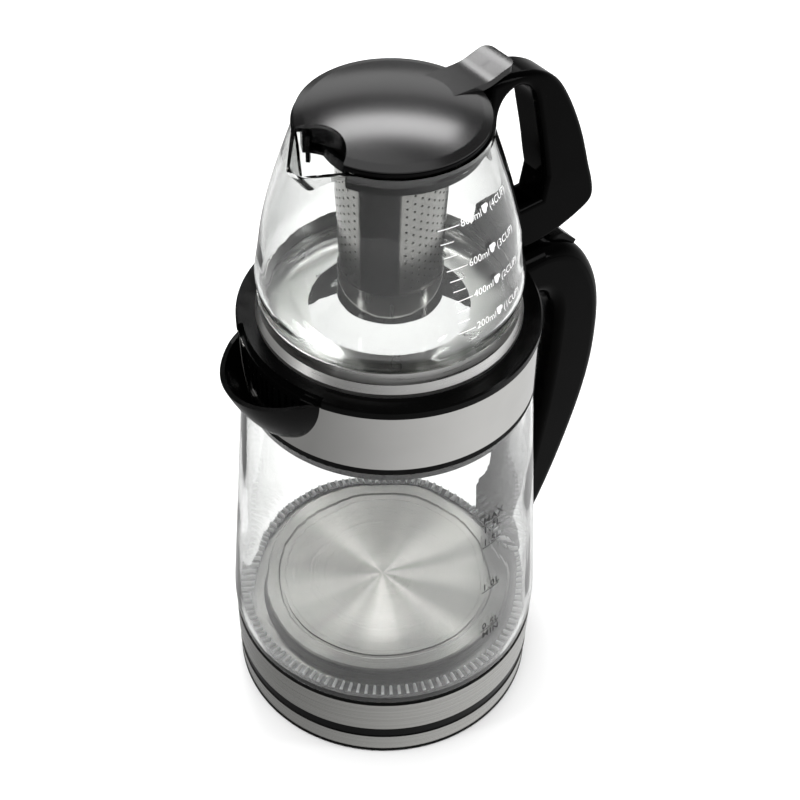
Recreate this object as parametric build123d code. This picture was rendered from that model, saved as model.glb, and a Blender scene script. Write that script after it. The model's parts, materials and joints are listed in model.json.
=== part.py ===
"""Glass tea maker: a kettle on a power base, with a teapot, infuser and lid stacked on top.

Millimetres, +Z up, origin on the kettle's axis at the underside of the middle foot.
+X points along the handles, -X along the spouts.
"""

import os
from math import cos, hypot, radians, sin, tan

from build123d import *

# ---------------------------------------------------------------- general fits
SEAT_GAP = 0.3        # between pieces of different bodies that rest on each other
FIT_GAP = 0.15        # between fixed pieces of one body
SLIDE_GAP = 0.4       # radial room round a piece that lifts out
OVERCUT = 1.0         # how far a cutter runs past what it cuts
SAME_PLACE = 0.001    # edges closer than this to a plane lie on it

# ---------------------------------------------------------------- power base
FOOT_PROUD = 0.8      # how far the rubber feet stand below the base plate
FOOT_R = 6.0
FOOT_CIRCLE_R = 62.0
FOOT_COUNT = 4        # on that circle; one more stands in the middle
BASE_PLATE_LIP = 0.3      # how far the plate stands out past the band's foot
BASE_PLATE_T = 1.4
BASE_PLATE_SPIGOT_H = 3.0
BASE_TRIM_LOW_R = 76.8
BASE_TRIM_LEAN = 0.7      # how far the band leans out towards its top
BASE_TRIM_H = 11.2
TRIM_T = 0.7          # sheet of every steel band
BASE_BAND_STEP = 0.5      # the black band stands back from the steel one
BASE_BAND_H = 3.6
BASE_WALL = 2.2
BASE_SCREW_CIRCLE_R = 46.0
SCREW_COUNT = 3
SCREW_HEAD_R = 3.0
SCREW_HEAD_T = 1.2
SCREW_SHANK_R = 1.4
SCREW_SHANK_L = 7.0
GLAND_R = 4.6
GLAND_BORE_R = 3.2
GLAND_L = 3.9
GLAND_FLANGE_R = 5.4
GLAND_FLANGE_T = 1.2

# the round plug and socket that let the kettle stand at any angle
STEM_R = 15.0
STEM_H = 9.0          # above the base's top face
STEM_SLOT_R = 10.5    # middle of the ring-shaped contact slot
STEM_SLOT_W = 2.0
STEM_PIN_HOLE_R = 2.4
STEM_HOLE_DEPTH = 7.0
CONTACT_T = 1.0
SOCKET_WALL = 2.0
SOCKET_H = 17.0

# ---------------------------------------------------------------- kettle, lower end
KETTLE_RIM_STEP = 0.3     # the kettle's rim stands out past the base's black band
KETTLE_RIM_H = 3.1
LOWER_RING_STEP = 0.25    # the steel band stands out past that rim
LOWER_RING_LEAN = 0.45
LOWER_RING_H = 20.4
LOWER_SEAL_STEP = 0.6     # the seal stands back from the steel band
LOWER_SEAL_H = 2.6
COVER_T = 2.2
CHASSIS_WALL = 2.4
CHASSIS_LEDGE_W = 10.7    # from the chassis's outside inwards
CHASSIS_LEDGE_T = 2.4
THERMOSTAT_R = 16.0
BIMETAL_R = 9.0
BIMETAL_T = 0.9

# ---------------------------------------------------------------- kettle glass
GLASS_H = 155.9
GLASS_FOOT_STEP = 0.3     # the glass's foot stands back from the steel band
GLASS_BELLY_OUT = 0.65    # the belly's bulge past the foot
GLASS_BELLY_Z = 7.0   # above the glass's foot
GLASS_STRAIGHT_OUT = 0.45
GLASS_STRAIGHT_Z = 14.0
GLASS_TOP_R = 68.4
GLASS_WALL = 3.0

# ---------------------------------------------------------------- heater
PLATE_SEAL_UPSTAND = 1.4
PLATE_FLANGE_T = 1.0
PLATE_FLANGE_CLEAR = 0.4
PLATE_RISE = 7.0      # the raised dish above its flange
PLATE_DISH_R = 54.0
PLATE_GROOVE_W = 1.6
PLATE_GROOVE_D = 0.7
PLATE_STEP_W = 10.9       # the low flange outside the raised rim
PLATE_DROP_W = 1.0        # run of the steep side between the two
PLATE_EDGE = 0.8          # bevel on the rim's edge
PLATE_T = 1.2
LIGHT_RING_W = 4.9
LIGHT_RING_T = 1.2
LIGHT_RIB_COUNT = 72
LIGHT_RIB_W = 1.6
LIGHT_RIB_H = 1.8
LIGHT_RIB_INSET = 0.6
SPREADER_R = 50.0
SPREADER_T = 3.0
ELEMENT_R = 40.0      # centre line of the heating bar
ELEMENT_W = 6.6
ELEMENT_H = 6.0
ELEMENT_LEG_T = 3.0
ELEMENT_GAP_DEG = 36.0
ELEMENT_LEG = 12.0

# ---------------------------------------------------------------- kettle, upper end
UPPER_SEAL_OUT = 0.5      # past the glass's top edge
UPPER_SEAL_H = 3.3
COLLAR_OUT = 0.1          # past the seal
COLLAR_H = 31.0
FRAME_WALL = 2.8
FRAME_SPIGOT_L = 6.0      # how far the frame reaches down inside the glass
FRAME_SPIGOT_WALL = 2.0
FRAME_SPIGOT_ROOT = 2.4

# ---------------------------------------------------------------- kettle spout
SPOUT_RIM_ABOVE = 0.9     # the spout's rim above the collar's top edge
SPOUT_DEPTH = 30.5        # from its rim to the bottom of the scoop
SPOUT_TIP_X = 88.5
SPOUT_FOOT_X = 72.0       # the tip's reach at the bottom of the scoop
SPOUT_BELLY = 1.6         # how far the keel bulges between the two
SPOUT_FALL = 10.0         # degrees by which the rim falls from the collar to the tip
SPOUT_HALF_W = 30.5       # at the rim, where it meets the collar
SPOUT_FOOT_HALF_W = 5.0
SPOUT_WALL = 2.2
SPOUT_ROOT_IN = 17.0      # how far its slices reach into the collar before they are cut off
SPOUT_BOW = [(0.55, 0.72), (0.86, 0.42)]      # its fullness: shares of the reach and of the half width
SPOUT_SECTIONS = 5
WINDOW_HALF_W = 21.0      # opening in the collar behind the spout
WINDOW_DEPTH = 22.0
WINDOW_ROUND = 12.0
STRAINER_SLOT_W = 2.0     # upright slots through the frame behind that opening
STRAINER_PITCH = 4.2
STRAINER_SLOT_COUNT = 9
STRAINER_TOP_BAR = 3.0
STRAINER_FOOT = 3.0       # from the opening's lowest point to the slots

# ---------------------------------------------------------------- kettle handle
HANDLE_W = 29.0
HANDLE_ROUND = 7.5
HANDLE_COVER_T = 5.0
HANDLE_SKIN = 3.4
HANDLE_ROOT_WALL = 6.0
HANDLE_ROOT_LOW = 210.5
HANDLE_MERGE_Z = 58.0     # where the grip's inner face meets the glass again
HANDLE_OUTER = [(84, 237.3), (96, 234.2), (107.3, 227.3), (116.0, 216.0), (122.6, 202.0), (126.6, 185.0),
                (127.8, 166.0), (126.4, 142.0), (121.4, 118.0), (113.6, 93.0), (104.4, 69.0), (97.2, 53.5)]
HANDLE_INNER = [(77.5, 210.5), (86.0, 207.5), (92.0, 198.0), (93.2, 182.0), (92.6, 162.0), (90.8, 138.0),
                (87.5, 114.0), (84.0, 92.0), (82.0, 74.0)]
HANDLE_ROOT_TOP = 237.3
HANDLE_FOOT_Z = 21.5
HANDLE_FOOT_X = 92.0
HANDLE_SCREW_Y = 7.0
HANDLE_SCREW_Z = 216.0
HANDLE_SCREW_L = 10.0
BUTTON_L = 20.0
BUTTON_W = 15.0
BUTTON_ROUND = 3.0
BUTTON_PROUD = 4.2        # at its crest, near the kettle
BUTTON_LOW_END = 0.9      # how far its far end stands out
BUTTON_CREST = 6.0        # from its near end to the crest
BUTTON_TRAVEL = 1.5
BUTTON_FLANGE = 1.6       # how far its flange reaches under the cover all round
BUTTON_FLANGE_T = 1.5
BUTTON_X = 101.5
BUTTON_Z = 231.2
BUTTON_TILT = 31.0        # slope of the handle's top at the button
SWITCH_W = 16.0
SWITCH_T = 4.0
SWITCH_REACH = 14.0       # from its pin to its tip
SWITCH_HEEL = 4.0
SWITCH_PIN_R = 1.6
SWITCH_PIN_L = 26.0
SWITCH_X = 84.5
SWITCH_Z = 31.0
SWITCH_ROOM = 4.0         # free height above and below the lever

# ---------------------------------------------------------------- lid ring and teapot seat
RING_OUT = 0.5            # past the collar
RING_LIP_H = 4.1
RING_EDGE_ROUND = 0.8
RING_HOLE_R = 38.0
RING_DECK_T = 2.6
RING_PLUG_H = 12.0
RING_PLUG_WALL = 3.8
RING_SPOUT_CUT = 2.8      # how far the lip is cut back over the spout
RING_SPOUT_DEG = 27.0
O_RING_R = 1.3
STEAM_HOLE_R = 37.0
SEAT_FLOOR_T = 0.8
SEAT_HEM_R = 60.6
SEAT_HEM_H = 2.1
SEAT_WALL_LOW_R = 59.0
SEAT_WALL_LOW_Z = 6.0     # above the ring's top face
SEAT_WALL_HIGH_R = 59.4
SEAT_WALL_H = 13.0
SEAT_T = 0.7

# ---------------------------------------------------------------- teapot
TEAPOT_WALL = 2.2
TEAPOT_FLOOR_T = 4.0
TEAPOT_HEEL_R = 5.0
TEAPOT_NEST_R = 57.8
TEAPOT_BELLY_R = 60.0
TEAPOT_BELLY_Z = 19.5     # heights above the teapot's underside
TEAPOT_NECK_R = 42.3
TEAPOT_H = 99.9
TEAPOT_RIM_H = 4.0
TEAPOT_CURVE = [(59.0, 29.5), (57.4, 41.0), (54.5, 56.0), (50.4, 71.0), (45.6, 86.0)]
LIP_TIP_X = 56.5          # pouring beak: its tip at rim height
LIP_TIP_ROUND = 4.5
LIP_FOOT_ROUND = 6.0
LIP_FOOT_X = 44.8         # its tip where it runs out into the flank
LIP_DEPTH = 16.0
LIP_ROOT_X = 30.0
LIP_HALF_W = 27.0         # at the rim
LIP_FOOT_HALF_W = 16.0
LIP_SLOPE = 19.0          # the beak's top edge falls away at this angle
LIP_SLOPE_X = 36.0

# ---------------------------------------------------------------- teapot handle
POT_HANDLE_W = 18.0
POT_HANDLE_ROUND = 3.0
POT_OUTER = [(46, 341.0), (57, 341.4), (67.6, 339.6), (78.2, 335.0), (86.0, 328.8), (92.6, 319.6),
             (100.0, 305.2), (106.6, 288.8), (112.4, 270.5), (116.0, 258.5), (115.6, 251.0), (110.4, 247.0)]
POT_UNDER = [(103.0, 244.0), (95.0, 241.6), (86.2, 240.0), (77.7, 239.4)]
POT_INNER = [(54.5, 301.0), (52.2, 314.0), (51.6, 323.5), (55.0, 331.5), (61.5, 334.2), (68.6, 331.0),
             (74.6, 317.1), (79.4, 297.3), (83.8, 277.0)]
POT_LOW_TOP = 265.5       # upper face of the handle's lower arm
POT_FOOT_Z = 240.4
POT_ARM_STEP = 2.0        # small flat on the arm before the grip rises from it
POCKET_X0 = 62.5          # the recess in the lower arm, which takes the clip
POCKET_X1 = 79.0
POCKET_HALF_W = 5.5
POCKET_FLOOR = 252.0
CLIP_T = 1.2
CLIP_L = 15.0
CLIP_UP = 11.0

# ---------------------------------------------------------------- infuser
INFUSER_FLANGE_R = 41.3
INFUSER_FLANGE_T = 1.8
INFUSER_PLUG_R = 38.4
INFUSER_PLUG_H = 10.3
INFUSER_PLUG_WALL = 1.8
DRUM_R = 31.0
BASKET_TOP_R = 25.0
BASKET_LOW_R = 22.9
BASKET_WALL = 0.6
BASKET_L = 69.0
BASKET_LIP_W = 2.0
BASKET_CUP_L = 14.0
BASKET_HOLE_R = 1.3
BASKET_HOLE_ROWS = 3
BASKET_HOLES_ROUND = 12
BASKET_BAND = 12.0        # plain band above and below the holes

# ---------------------------------------------------------------- lid
LID_EDGE_R = 41.0
LID_EDGE_H = 0.6
LID_SHOULDER_R = 37.1
LID_SHOULDER_H = 1.9
LID_DOME_H = 6.4
LID_WALL = 2.0
LID_PLUG_H = 6.7
LID_PLUG_WALL = 1.8
BITE_R = 18.4             # the round bite in the lid over the pouring beak
BITE_X = 47.1
FIN_DROP = 8.7
FIN_W = 1.8
FIN_DEPTH = 2.2
FIN_DEG = 44.0
TAB_HALF_W = 9.6
TAB_END_X = 58.6
TAB_END_ROUND = 4.5
TAB_T = 3.2
TAB_TOP = [(22, 345.7), (30, 345.3), (38, 345.0), (44, 345.2), (50, 346.8), (54, 347.9), (60, 348.4)]

# ---------------------------------------------------------------- heights worked out from the sizes above
PLATE_Z = FOOT_PROUD
TRIM_Z = PLATE_Z + BASE_PLATE_T
BAND_Z = TRIM_Z + BASE_TRIM_H
BASE_TOP = BAND_Z + BASE_BAND_H
RIM_Z = BASE_TOP + SEAT_GAP
LOWER_RING_Z = RIM_Z + KETTLE_RIM_H
LOWER_SEAL_Z = LOWER_RING_Z + LOWER_RING_H
GLASS_Z = LOWER_SEAL_Z + LOWER_SEAL_H
UPPER_SEAL_Z = GLASS_Z + GLASS_H
COLLAR_Z = UPPER_SEAL_Z + UPPER_SEAL_H
COLLAR_TOP = COLLAR_Z + COLLAR_H
RING_Z = COLLAR_TOP + SEAT_GAP
RING_TOP = RING_Z + RING_LIP_H
TEAPOT_Z = RING_TOP + SEAT_FLOOR_T + SEAT_GAP
TEAPOT_TOP = TEAPOT_Z + TEAPOT_H
FLANGE_Z = TEAPOT_TOP + SEAT_GAP
LID_Z = FLANGE_Z + INFUSER_FLANGE_T + SEAT_GAP
PLATE_FLANGE_Z = GLASS_Z + PLATE_SEAL_UPSTAND
DISH_Z = PLATE_FLANGE_Z + PLATE_FLANGE_T + PLATE_RISE
SPOUT_RIM_Z = COLLAR_TOP + SPOUT_RIM_ABOVE

# ---------------------------------------------------------------- radii worked out from the sizes above
BASE_PLATE_R = BASE_TRIM_LOW_R + BASE_PLATE_LIP
BASE_TRIM_HIGH_R = BASE_TRIM_LOW_R + BASE_TRIM_LEAN
BASE_BAND_R = BASE_TRIM_HIGH_R - BASE_BAND_STEP
BASE_WALL_R = min(BASE_TRIM_LOW_R, BASE_TRIM_HIGH_R) - TRIM_T - FIT_GAP
KETTLE_RIM_R = BASE_BAND_R + KETTLE_RIM_STEP
LOWER_RING_LOW_R = KETTLE_RIM_R + LOWER_RING_STEP
LOWER_RING_HIGH_R = LOWER_RING_LOW_R + LOWER_RING_LEAN
LOWER_SEAL_R = LOWER_RING_HIGH_R - LOWER_SEAL_STEP
CHASSIS_R = min(LOWER_RING_LOW_R, LOWER_RING_HIGH_R) - TRIM_T - FIT_GAP
CHASSIS_LEDGE_R = CHASSIS_R - CHASSIS_LEDGE_W
GLASS_FOOT_R = LOWER_RING_HIGH_R - GLASS_FOOT_STEP
GLASS_BELLY_R = GLASS_FOOT_R + GLASS_BELLY_OUT
GLASS_STRAIGHT_R = GLASS_FOOT_R + GLASS_STRAIGHT_OUT
PLATE_FLANGE_R = GLASS_FOOT_R - GLASS_WALL - PLATE_FLANGE_CLEAR
PLATE_SHOULDER_R = PLATE_FLANGE_R - PLATE_STEP_W
LIGHT_RING_IN_R = PLATE_FLANGE_R - LIGHT_RING_W
UPPER_SEAL_R = GLASS_TOP_R + UPPER_SEAL_OUT
COLLAR_R = UPPER_SEAL_R + COLLAR_OUT
RING_R = COLLAR_R + RING_OUT
RING_SPOUT_R = RING_R - RING_SPOUT_CUT
FRAME_R = COLLAR_R - TRIM_T - FIT_GAP
FRAME_IN_R = FRAME_R - FRAME_WALL
RING_PLUG_R = FRAME_IN_R - SLIDE_GAP
SOCKET_R = STEM_R + SLIDE_GAP
SOCKET_OUT_R = SOCKET_R + SOCKET_WALL


# ---------------------------------------------------------------- small helpers
def lathe(*outline):
    """Solid of revolution about Z from the corners (radius, height) of a closed outline."""
    return revolve(make_face(Polyline([(r, 0, z) for r, z in outline], close=True)), axis=Axis.Z)


def tube(r_in, r_out, z_low, z_high):
    return lathe((r_in, z_low), (r_out, z_low), (r_out, z_high), (r_in, z_high))


def disc(r, z_low, z_high):
    return lathe((0, z_low), (r, z_low), (r, z_high), (0, z_high))


def rod(x, y, r, z_low, z_high):
    return Pos(x, y, z_low) * Cylinder(r, z_high - z_low, align=(Align.CENTER, Align.CENTER, Align.MIN))


def block(x0, x1, half_w, z0, z1):
    """Box that is centred on the XZ plane."""
    return Pos(x0, 0, z0) * Box(x1 - x0, 2 * half_w, z1 - z0, align=(Align.MIN, Align.CENTER, Align.MIN))


def around(shape, count, first=0.0):
    """Copies of a shape spread evenly about Z."""
    return [Rot(0, 0, first + 360 * k / count) * shape for k in range(count)]


def in_xz(points):
    return [(x, 0, z) for x, z in points]


def shifted(points, distance):
    """The points of a curve, each moved to the left of the curve's run by a distance."""
    moved = []
    last = len(points) - 1
    for k, (x, z) in enumerate(points):
        (xa, za), (xb, zb) = points[max(k - 1, 0)], points[min(k + 1, last)]
        run = hypot(xb - xa, zb - za)
        moved.append((x - distance * (zb - za) / run, z + distance * (xb - xa) / run))
    return moved


def slab(face, half_w):
    """A face in the XZ plane made into a slab that is centred on that plane."""
    return extrude(face, amount=half_w, dir=(0, 1, 0), both=True)


def rounded_sides(solid, half_w, radius):
    """Rounds the edges of a slab's two flat sides."""
    rims = [e for e in solid.edges() if abs(abs(e.center().Y) - half_w) < SAME_PLACE]
    return fillet(rims, radius)


# ---------------------------------------------------------------- power base
def base_screw_holes(r, z_low, z_high):
    return around(rod(BASE_SCREW_CIRCLE_R, 0, r, z_low, z_high), SCREW_COUNT, 90)


def base_bottom_plate():
    """Flat cover under the base, with holes for the screws."""
    spigot_r = BASE_WALL_R - BASE_WALL - FIT_GAP
    plate = disc(BASE_PLATE_R, PLATE_Z, TRIM_Z)
    plate += tube(spigot_r - BASE_WALL, spigot_r, TRIM_Z, TRIM_Z + BASE_PLATE_SPIGOT_H)
    return plate - base_screw_holes(SCREW_SHANK_R + FIT_GAP, 0, TRIM_Z + BASE_PLATE_T)


def base_feet():
    """Rubber feet: a circle of them near the rim, and one in the middle under the connector."""
    rim_feet = around(rod(FOOT_CIRCLE_R, 0, FOOT_R, 0, PLATE_Z), FOOT_COUNT, 45)
    return [*rim_feet, rod(0, 0, FOOT_R, 0, PLATE_Z)]


def base_screws():
    """Pan-head screws up through the bottom plate; their heads stay above the feet's soles."""
    head_z = PLATE_Z - SCREW_HEAD_T / 2
    shank = disc(SCREW_SHANK_R, PLATE_Z, PLATE_Z + SCREW_SHANK_L)
    screw = disc(SCREW_HEAD_R, head_z, PLATE_Z) + shank
    return around(Pos(BASE_SCREW_CIRCLE_R, 0, 0) * screw, SCREW_COUNT, 90)


def gland_axis():
    """Frame at the back of the base where the lead comes in, pointing inwards."""
    return Pos(0, BASE_TRIM_HIGH_R + FIT_GAP, TRIM_Z + BASE_TRIM_H / 2) * Rot(90, 0, 0)


def gland_hole():
    drill = Cylinder(GLAND_R + FIT_GAP, 3 * GLAND_L, align=(Align.CENTER, Align.CENTER, Align.CENTER))
    return gland_axis() * drill


def cord_gland():
    """Flanged grommet that lines the hole for the mains lead."""
    low = (Align.CENTER, Align.CENTER, Align.MIN)
    high = (Align.CENTER, Align.CENTER, Align.MAX)
    body = Cylinder(GLAND_R, GLAND_L, align=low) + Cylinder(GLAND_FLANGE_R, GLAND_FLANGE_T, align=high)
    return gland_axis() * (body - Cylinder(GLAND_BORE_R, 3 * GLAND_L))


def base_trim():
    """Steel band round the base; the sheet leans out slightly towards its top."""
    band = lathe((BASE_TRIM_LOW_R - TRIM_T, TRIM_Z), (BASE_TRIM_LOW_R, TRIM_Z),
                 (BASE_TRIM_HIGH_R, BAND_Z), (BASE_TRIM_HIGH_R - TRIM_T, BAND_Z))
    return band - gland_hole()


def base_shell():
    """Black moulding: outer wall, top deck, and the posts that take the screws."""
    deck_z = BASE_TOP - BASE_WALL
    in_r = BASE_WALL_R - BASE_WALL
    hole_r = STEM_R + FIT_GAP
    shell = lathe((in_r, TRIM_Z), (BASE_WALL_R, TRIM_Z), (BASE_WALL_R, BAND_Z), (BASE_BAND_R, BAND_Z),
                  (BASE_BAND_R, BASE_TOP), (hole_r, BASE_TOP), (hole_r, deck_z), (in_r, deck_z))
    shell += base_screw_holes(SCREW_SHANK_R + BASE_WALL, TRIM_Z, BASE_TOP - BASE_WALL / 2)
    shell -= base_screw_holes(SCREW_SHANK_R + FIT_GAP, TRIM_Z, PLATE_Z + SCREW_SHANK_L + FIT_GAP)
    return shell - gland_hole()


def contact_slot(clear, z_low, z_high):
    half = STEM_SLOT_W / 2 + clear
    return tube(STEM_SLOT_R - half, STEM_SLOT_R + half, z_low, z_high)


def base_stem():
    """Round connector in the middle of the base, with a pin hole and a ring-shaped slot."""
    top = BASE_TOP + STEM_H
    deck_z = BASE_TOP - BASE_WALL
    stem = disc(STEM_R, deck_z - BASE_WALL, top)
    stem += disc(STEM_R + BASE_WALL, deck_z - BASE_WALL, deck_z)
    stem -= disc(STEM_PIN_HOLE_R, top - STEM_HOLE_DEPTH, top)
    return stem - contact_slot(0, top - STEM_HOLE_DEPTH, top)


def stem_contacts():
    """Brass liners at the bottom of the pin hole and of the ring-shaped slot."""
    low = BASE_TOP + STEM_H - STEM_HOLE_DEPTH
    return [disc(STEM_PIN_HOLE_R - FIT_GAP, low, low + CONTACT_T),
            contact_slot(-FIT_GAP, low, low + CONTACT_T)]


# ---------------------------------------------------------------- kettle: connector and underside
def kettle_socket():
    """Cup over the base's connector; its flange is trapped above the kettle's bottom cover."""
    top = RIM_Z + SOCKET_H
    flange_z = RIM_Z + COVER_T + SEAT_GAP
    cup = disc(SOCKET_OUT_R, RIM_Z, top) - disc(SOCKET_R, RIM_Z, top - SOCKET_WALL)
    cup += tube(SOCKET_R, SOCKET_OUT_R + SOCKET_WALL, flange_z, flange_z + SOCKET_WALL)
    return cup


def socket_contacts():
    """Centre pin and ring-shaped blade that hang from the cup's roof into the base's connector."""
    roof = RIM_Z + SOCKET_H - SOCKET_WALL
    low = BASE_TOP + STEM_H - STEM_HOLE_DEPTH + CONTACT_T + SEAT_GAP
    blade = contact_slot(-SLIDE_GAP, low, roof)
    return [disc(STEM_PIN_HOLE_R - SLIDE_GAP, low, roof), blade]


def kettle_bottom_cover():
    """Black underside of the kettle: a rim that rests on the base and a floor with a round hole."""
    in_r = KETTLE_RIM_R - COVER_T
    hole_r = SOCKET_OUT_R + SEAT_GAP
    top = RIM_Z + KETTLE_RIM_H
    floor_top = RIM_Z + COVER_T
    return lathe((hole_r, RIM_Z), (KETTLE_RIM_R, RIM_Z), (KETTLE_RIM_R, top), (in_r, top),
                 (in_r, floor_top), (hole_r, floor_top))


def lower_ring():
    """Brushed steel band round the kettle's foot."""
    return lathe((LOWER_RING_LOW_R - TRIM_T, LOWER_RING_Z), (LOWER_RING_LOW_R, LOWER_RING_Z),
                 (LOWER_RING_HIGH_R, LOWER_SEAL_Z), (LOWER_RING_HIGH_R - TRIM_T, LOWER_SEAL_Z))


def chassis():
    """Inner moulding of the foot: a wall inside the steel band and the ledge that carries the glass."""
    in_r = CHASSIS_R - CHASSIS_WALL
    ledge_z = LOWER_SEAL_Z - CHASSIS_LEDGE_T
    return lathe((in_r, LOWER_RING_Z), (CHASSIS_R, LOWER_RING_Z), (CHASSIS_R, LOWER_SEAL_Z),
                 (CHASSIS_LEDGE_R, LOWER_SEAL_Z), (CHASSIS_LEDGE_R, ledge_z), (in_r, ledge_z))


def lower_seal():
    """Silicone seal under the glass, with an inner lip that the heating plate rests on."""
    lip_r = GLASS_FOOT_R - GLASS_WALL - FIT_GAP
    return lathe((CHASSIS_LEDGE_R, LOWER_SEAL_Z), (LOWER_SEAL_R, LOWER_SEAL_Z), (LOWER_SEAL_R, GLASS_Z),
                 (lip_r, GLASS_Z), (lip_r, PLATE_FLANGE_Z), (CHASSIS_LEDGE_R, PLATE_FLANGE_Z))


def kettle_glass():
    """Glass wall: a rounded foot, then a straight taper up to the collar."""
    foot = (GLASS_FOOT_R, 0, GLASS_Z)
    belly = (GLASS_BELLY_R, 0, GLASS_Z + GLASS_BELLY_Z)
    straight = (GLASS_STRAIGHT_R, 0, GLASS_Z + GLASS_STRAIGHT_Z)
    inward = Vector(-GLASS_WALL, 0, 0)
    outside = ThreePointArc(foot, belly, straight)
    flank = Line(straight, (GLASS_TOP_R, 0, UPPER_SEAL_Z))
    inside = ThreePointArc(Vector(*straight) + inward, Vector(*belly) + inward, Vector(*foot) + inward)
    inner_flank = Line((GLASS_TOP_R - GLASS_WALL, 0, UPPER_SEAL_Z), inside @ 0)
    top = Line(flank @ 1, inner_flank @ 0)
    base = Line(inside @ 1, foot)
    return revolve(make_face([outside, flank, top, inner_flank, inside, base]), axis=Axis.Z)


# ---------------------------------------------------------------- heater
def heating_plate():
    """Pressed steel floor of the kettle: raised dish, shallow groove, flat rim and low outer flange."""
    flange_top = PLATE_FLANGE_Z + PLATE_FLANGE_T
    groove_r = PLATE_DISH_R + PLATE_GROOVE_W
    groove_z = DISH_Z - PLATE_GROOVE_D
    under_z = DISH_Z - PLATE_GROOVE_D - PLATE_T
    step_r = PLATE_SHOULDER_R + PLATE_DROP_W
    return lathe((0, DISH_Z), (PLATE_DISH_R, DISH_Z), (PLATE_DISH_R, groove_z), (groove_r, groove_z),
                 (groove_r + PLATE_GROOVE_D, DISH_Z), (PLATE_SHOULDER_R - PLATE_EDGE, DISH_Z),
                 (PLATE_SHOULDER_R, DISH_Z - PLATE_EDGE), (step_r, flange_top), (PLATE_FLANGE_R, flange_top),
                 (PLATE_FLANGE_R, PLATE_FLANGE_Z), (step_r - PLATE_T, PLATE_FLANGE_Z),
                 (PLATE_SHOULDER_R - PLATE_T, under_z), (0, under_z))


def light_ring():
    """Clear ribbed ring round the heating plate; the ribs carry the light round inside the glass."""
    low = PLATE_FLANGE_Z + PLATE_FLANGE_T
    top = low + LIGHT_RING_T
    rib = block(LIGHT_RING_IN_R + LIGHT_RIB_INSET, PLATE_FLANGE_R - LIGHT_RIB_INSET, LIGHT_RIB_W / 2,
                top - LIGHT_RING_T / 2, top + LIGHT_RIB_H)
    return tube(LIGHT_RING_IN_R, PLATE_FLANGE_R, low, top) + around(rib, LIGHT_RIB_COUNT)


def spreader_z():
    return DISH_Z - PLATE_GROOVE_D - PLATE_T


def heat_spreader():
    return disc(SPREADER_R, spreader_z() - SPREADER_T, spreader_z())


def heating_element():
    """Sheathed heating bar under the spreader: most of a circle, with both ends turned down."""
    top = spreader_z() - SPREADER_T
    low = top - ELEMENT_H
    half_gap = ELEMENT_GAP_DEG / 2
    in_r, out_r = ELEMENT_R - ELEMENT_W / 2, ELEMENT_R + ELEMENT_W / 2
    section = Polyline(in_xz([(in_r, top), (out_r, top), (out_r, low + ELEMENT_H / 3),
                              (ELEMENT_R, low), (in_r, low + ELEMENT_H / 3)]), close=True)
    bar = Rot(0, 0, half_gap) * revolve(make_face(section), axis=Axis.Z, revolution_arc=360 - ELEMENT_GAP_DEG)
    leg = block(in_r, out_r, ELEMENT_LEG_T / 2, top - ELEMENT_LEG, top)
    for turn in (half_gap, -half_gap):
        bar += Rot(0, 0, turn) * leg
    return bar


def thermostat():
    """Boil-dry cut-out on top of the connector, just under the heat spreader."""
    low = RIM_Z + SOCKET_H + SEAT_GAP
    return disc(THERMOSTAT_R, low, spreader_z() - SPREADER_T - BIMETAL_T)


def bimetal_disc():
    top = spreader_z() - SPREADER_T
    return disc(BIMETAL_R, top - BIMETAL_T, top)


# ---------------------------------------------------------------- kettle: upper end
def window():
    """Cutter for the opening behind the spout; it is open at the top."""
    low = COLLAR_TOP - WINDOW_DEPTH
    face = Polyline([(0, -WINDOW_HALF_W, low), (0, WINDOW_HALF_W, low),
                     (0, WINDOW_HALF_W, RING_TOP), (0, -WINDOW_HALF_W, RING_TOP)], close=True)
    cutter = extrude(make_face(face), amount=2 * RING_R, dir=(-1, 0, 0))
    corners = cutter.edges().filter_by(Axis.X).group_by(Axis.Z)[0]
    return fillet(corners, WINDOW_ROUND)


def handle_screw_axes(radius, x0, x1):
    """Rods along X where the two handle screws pass."""
    one = Rot(0, 90, 0) * Cylinder(radius, x1 - x0, align=(Align.CENTER, Align.CENTER, Align.MIN))
    return [Pos(x0, side * HANDLE_SCREW_Y, HANDLE_SCREW_Z) * one for side in (1, -1)]


def screw_head_x():
    """Where the handle screws' heads bear, inside the collar's frame."""
    return FRAME_IN_R - 2 * SLIDE_GAP


def upper_seal():
    return tube(GLASS_TOP_R - GLASS_WALL, UPPER_SEAL_R, UPPER_SEAL_Z, COLLAR_Z)


def collar():
    """Polished steel band round the kettle's mouth."""
    band = tube(COLLAR_R - TRIM_T, COLLAR_R, COLLAR_Z, COLLAR_TOP) - window()
    return band - handle_screw_axes(SCREW_SHANK_R + FIT_GAP, FRAME_IN_R, COLLAR_R + OVERCUT)


def strainer_slots():
    """Slots through which the water leaves for the spout; they hold back scale."""
    low = COLLAR_TOP - WINDOW_DEPTH + STRAINER_FOOT
    high = COLLAR_TOP - STRAINER_TOP_BAR
    half = STRAINER_SLOT_W / 2
    first = -STRAINER_PITCH * (STRAINER_SLOT_COUNT - 1) / 2
    slot = block(-RING_R, -RING_HOLE_R, half, low, high)
    row = [Pos(0, first + STRAINER_PITCH * k, 0) * slot for k in range(STRAINER_SLOT_COUNT)]
    return Compound(row) & window()


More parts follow.
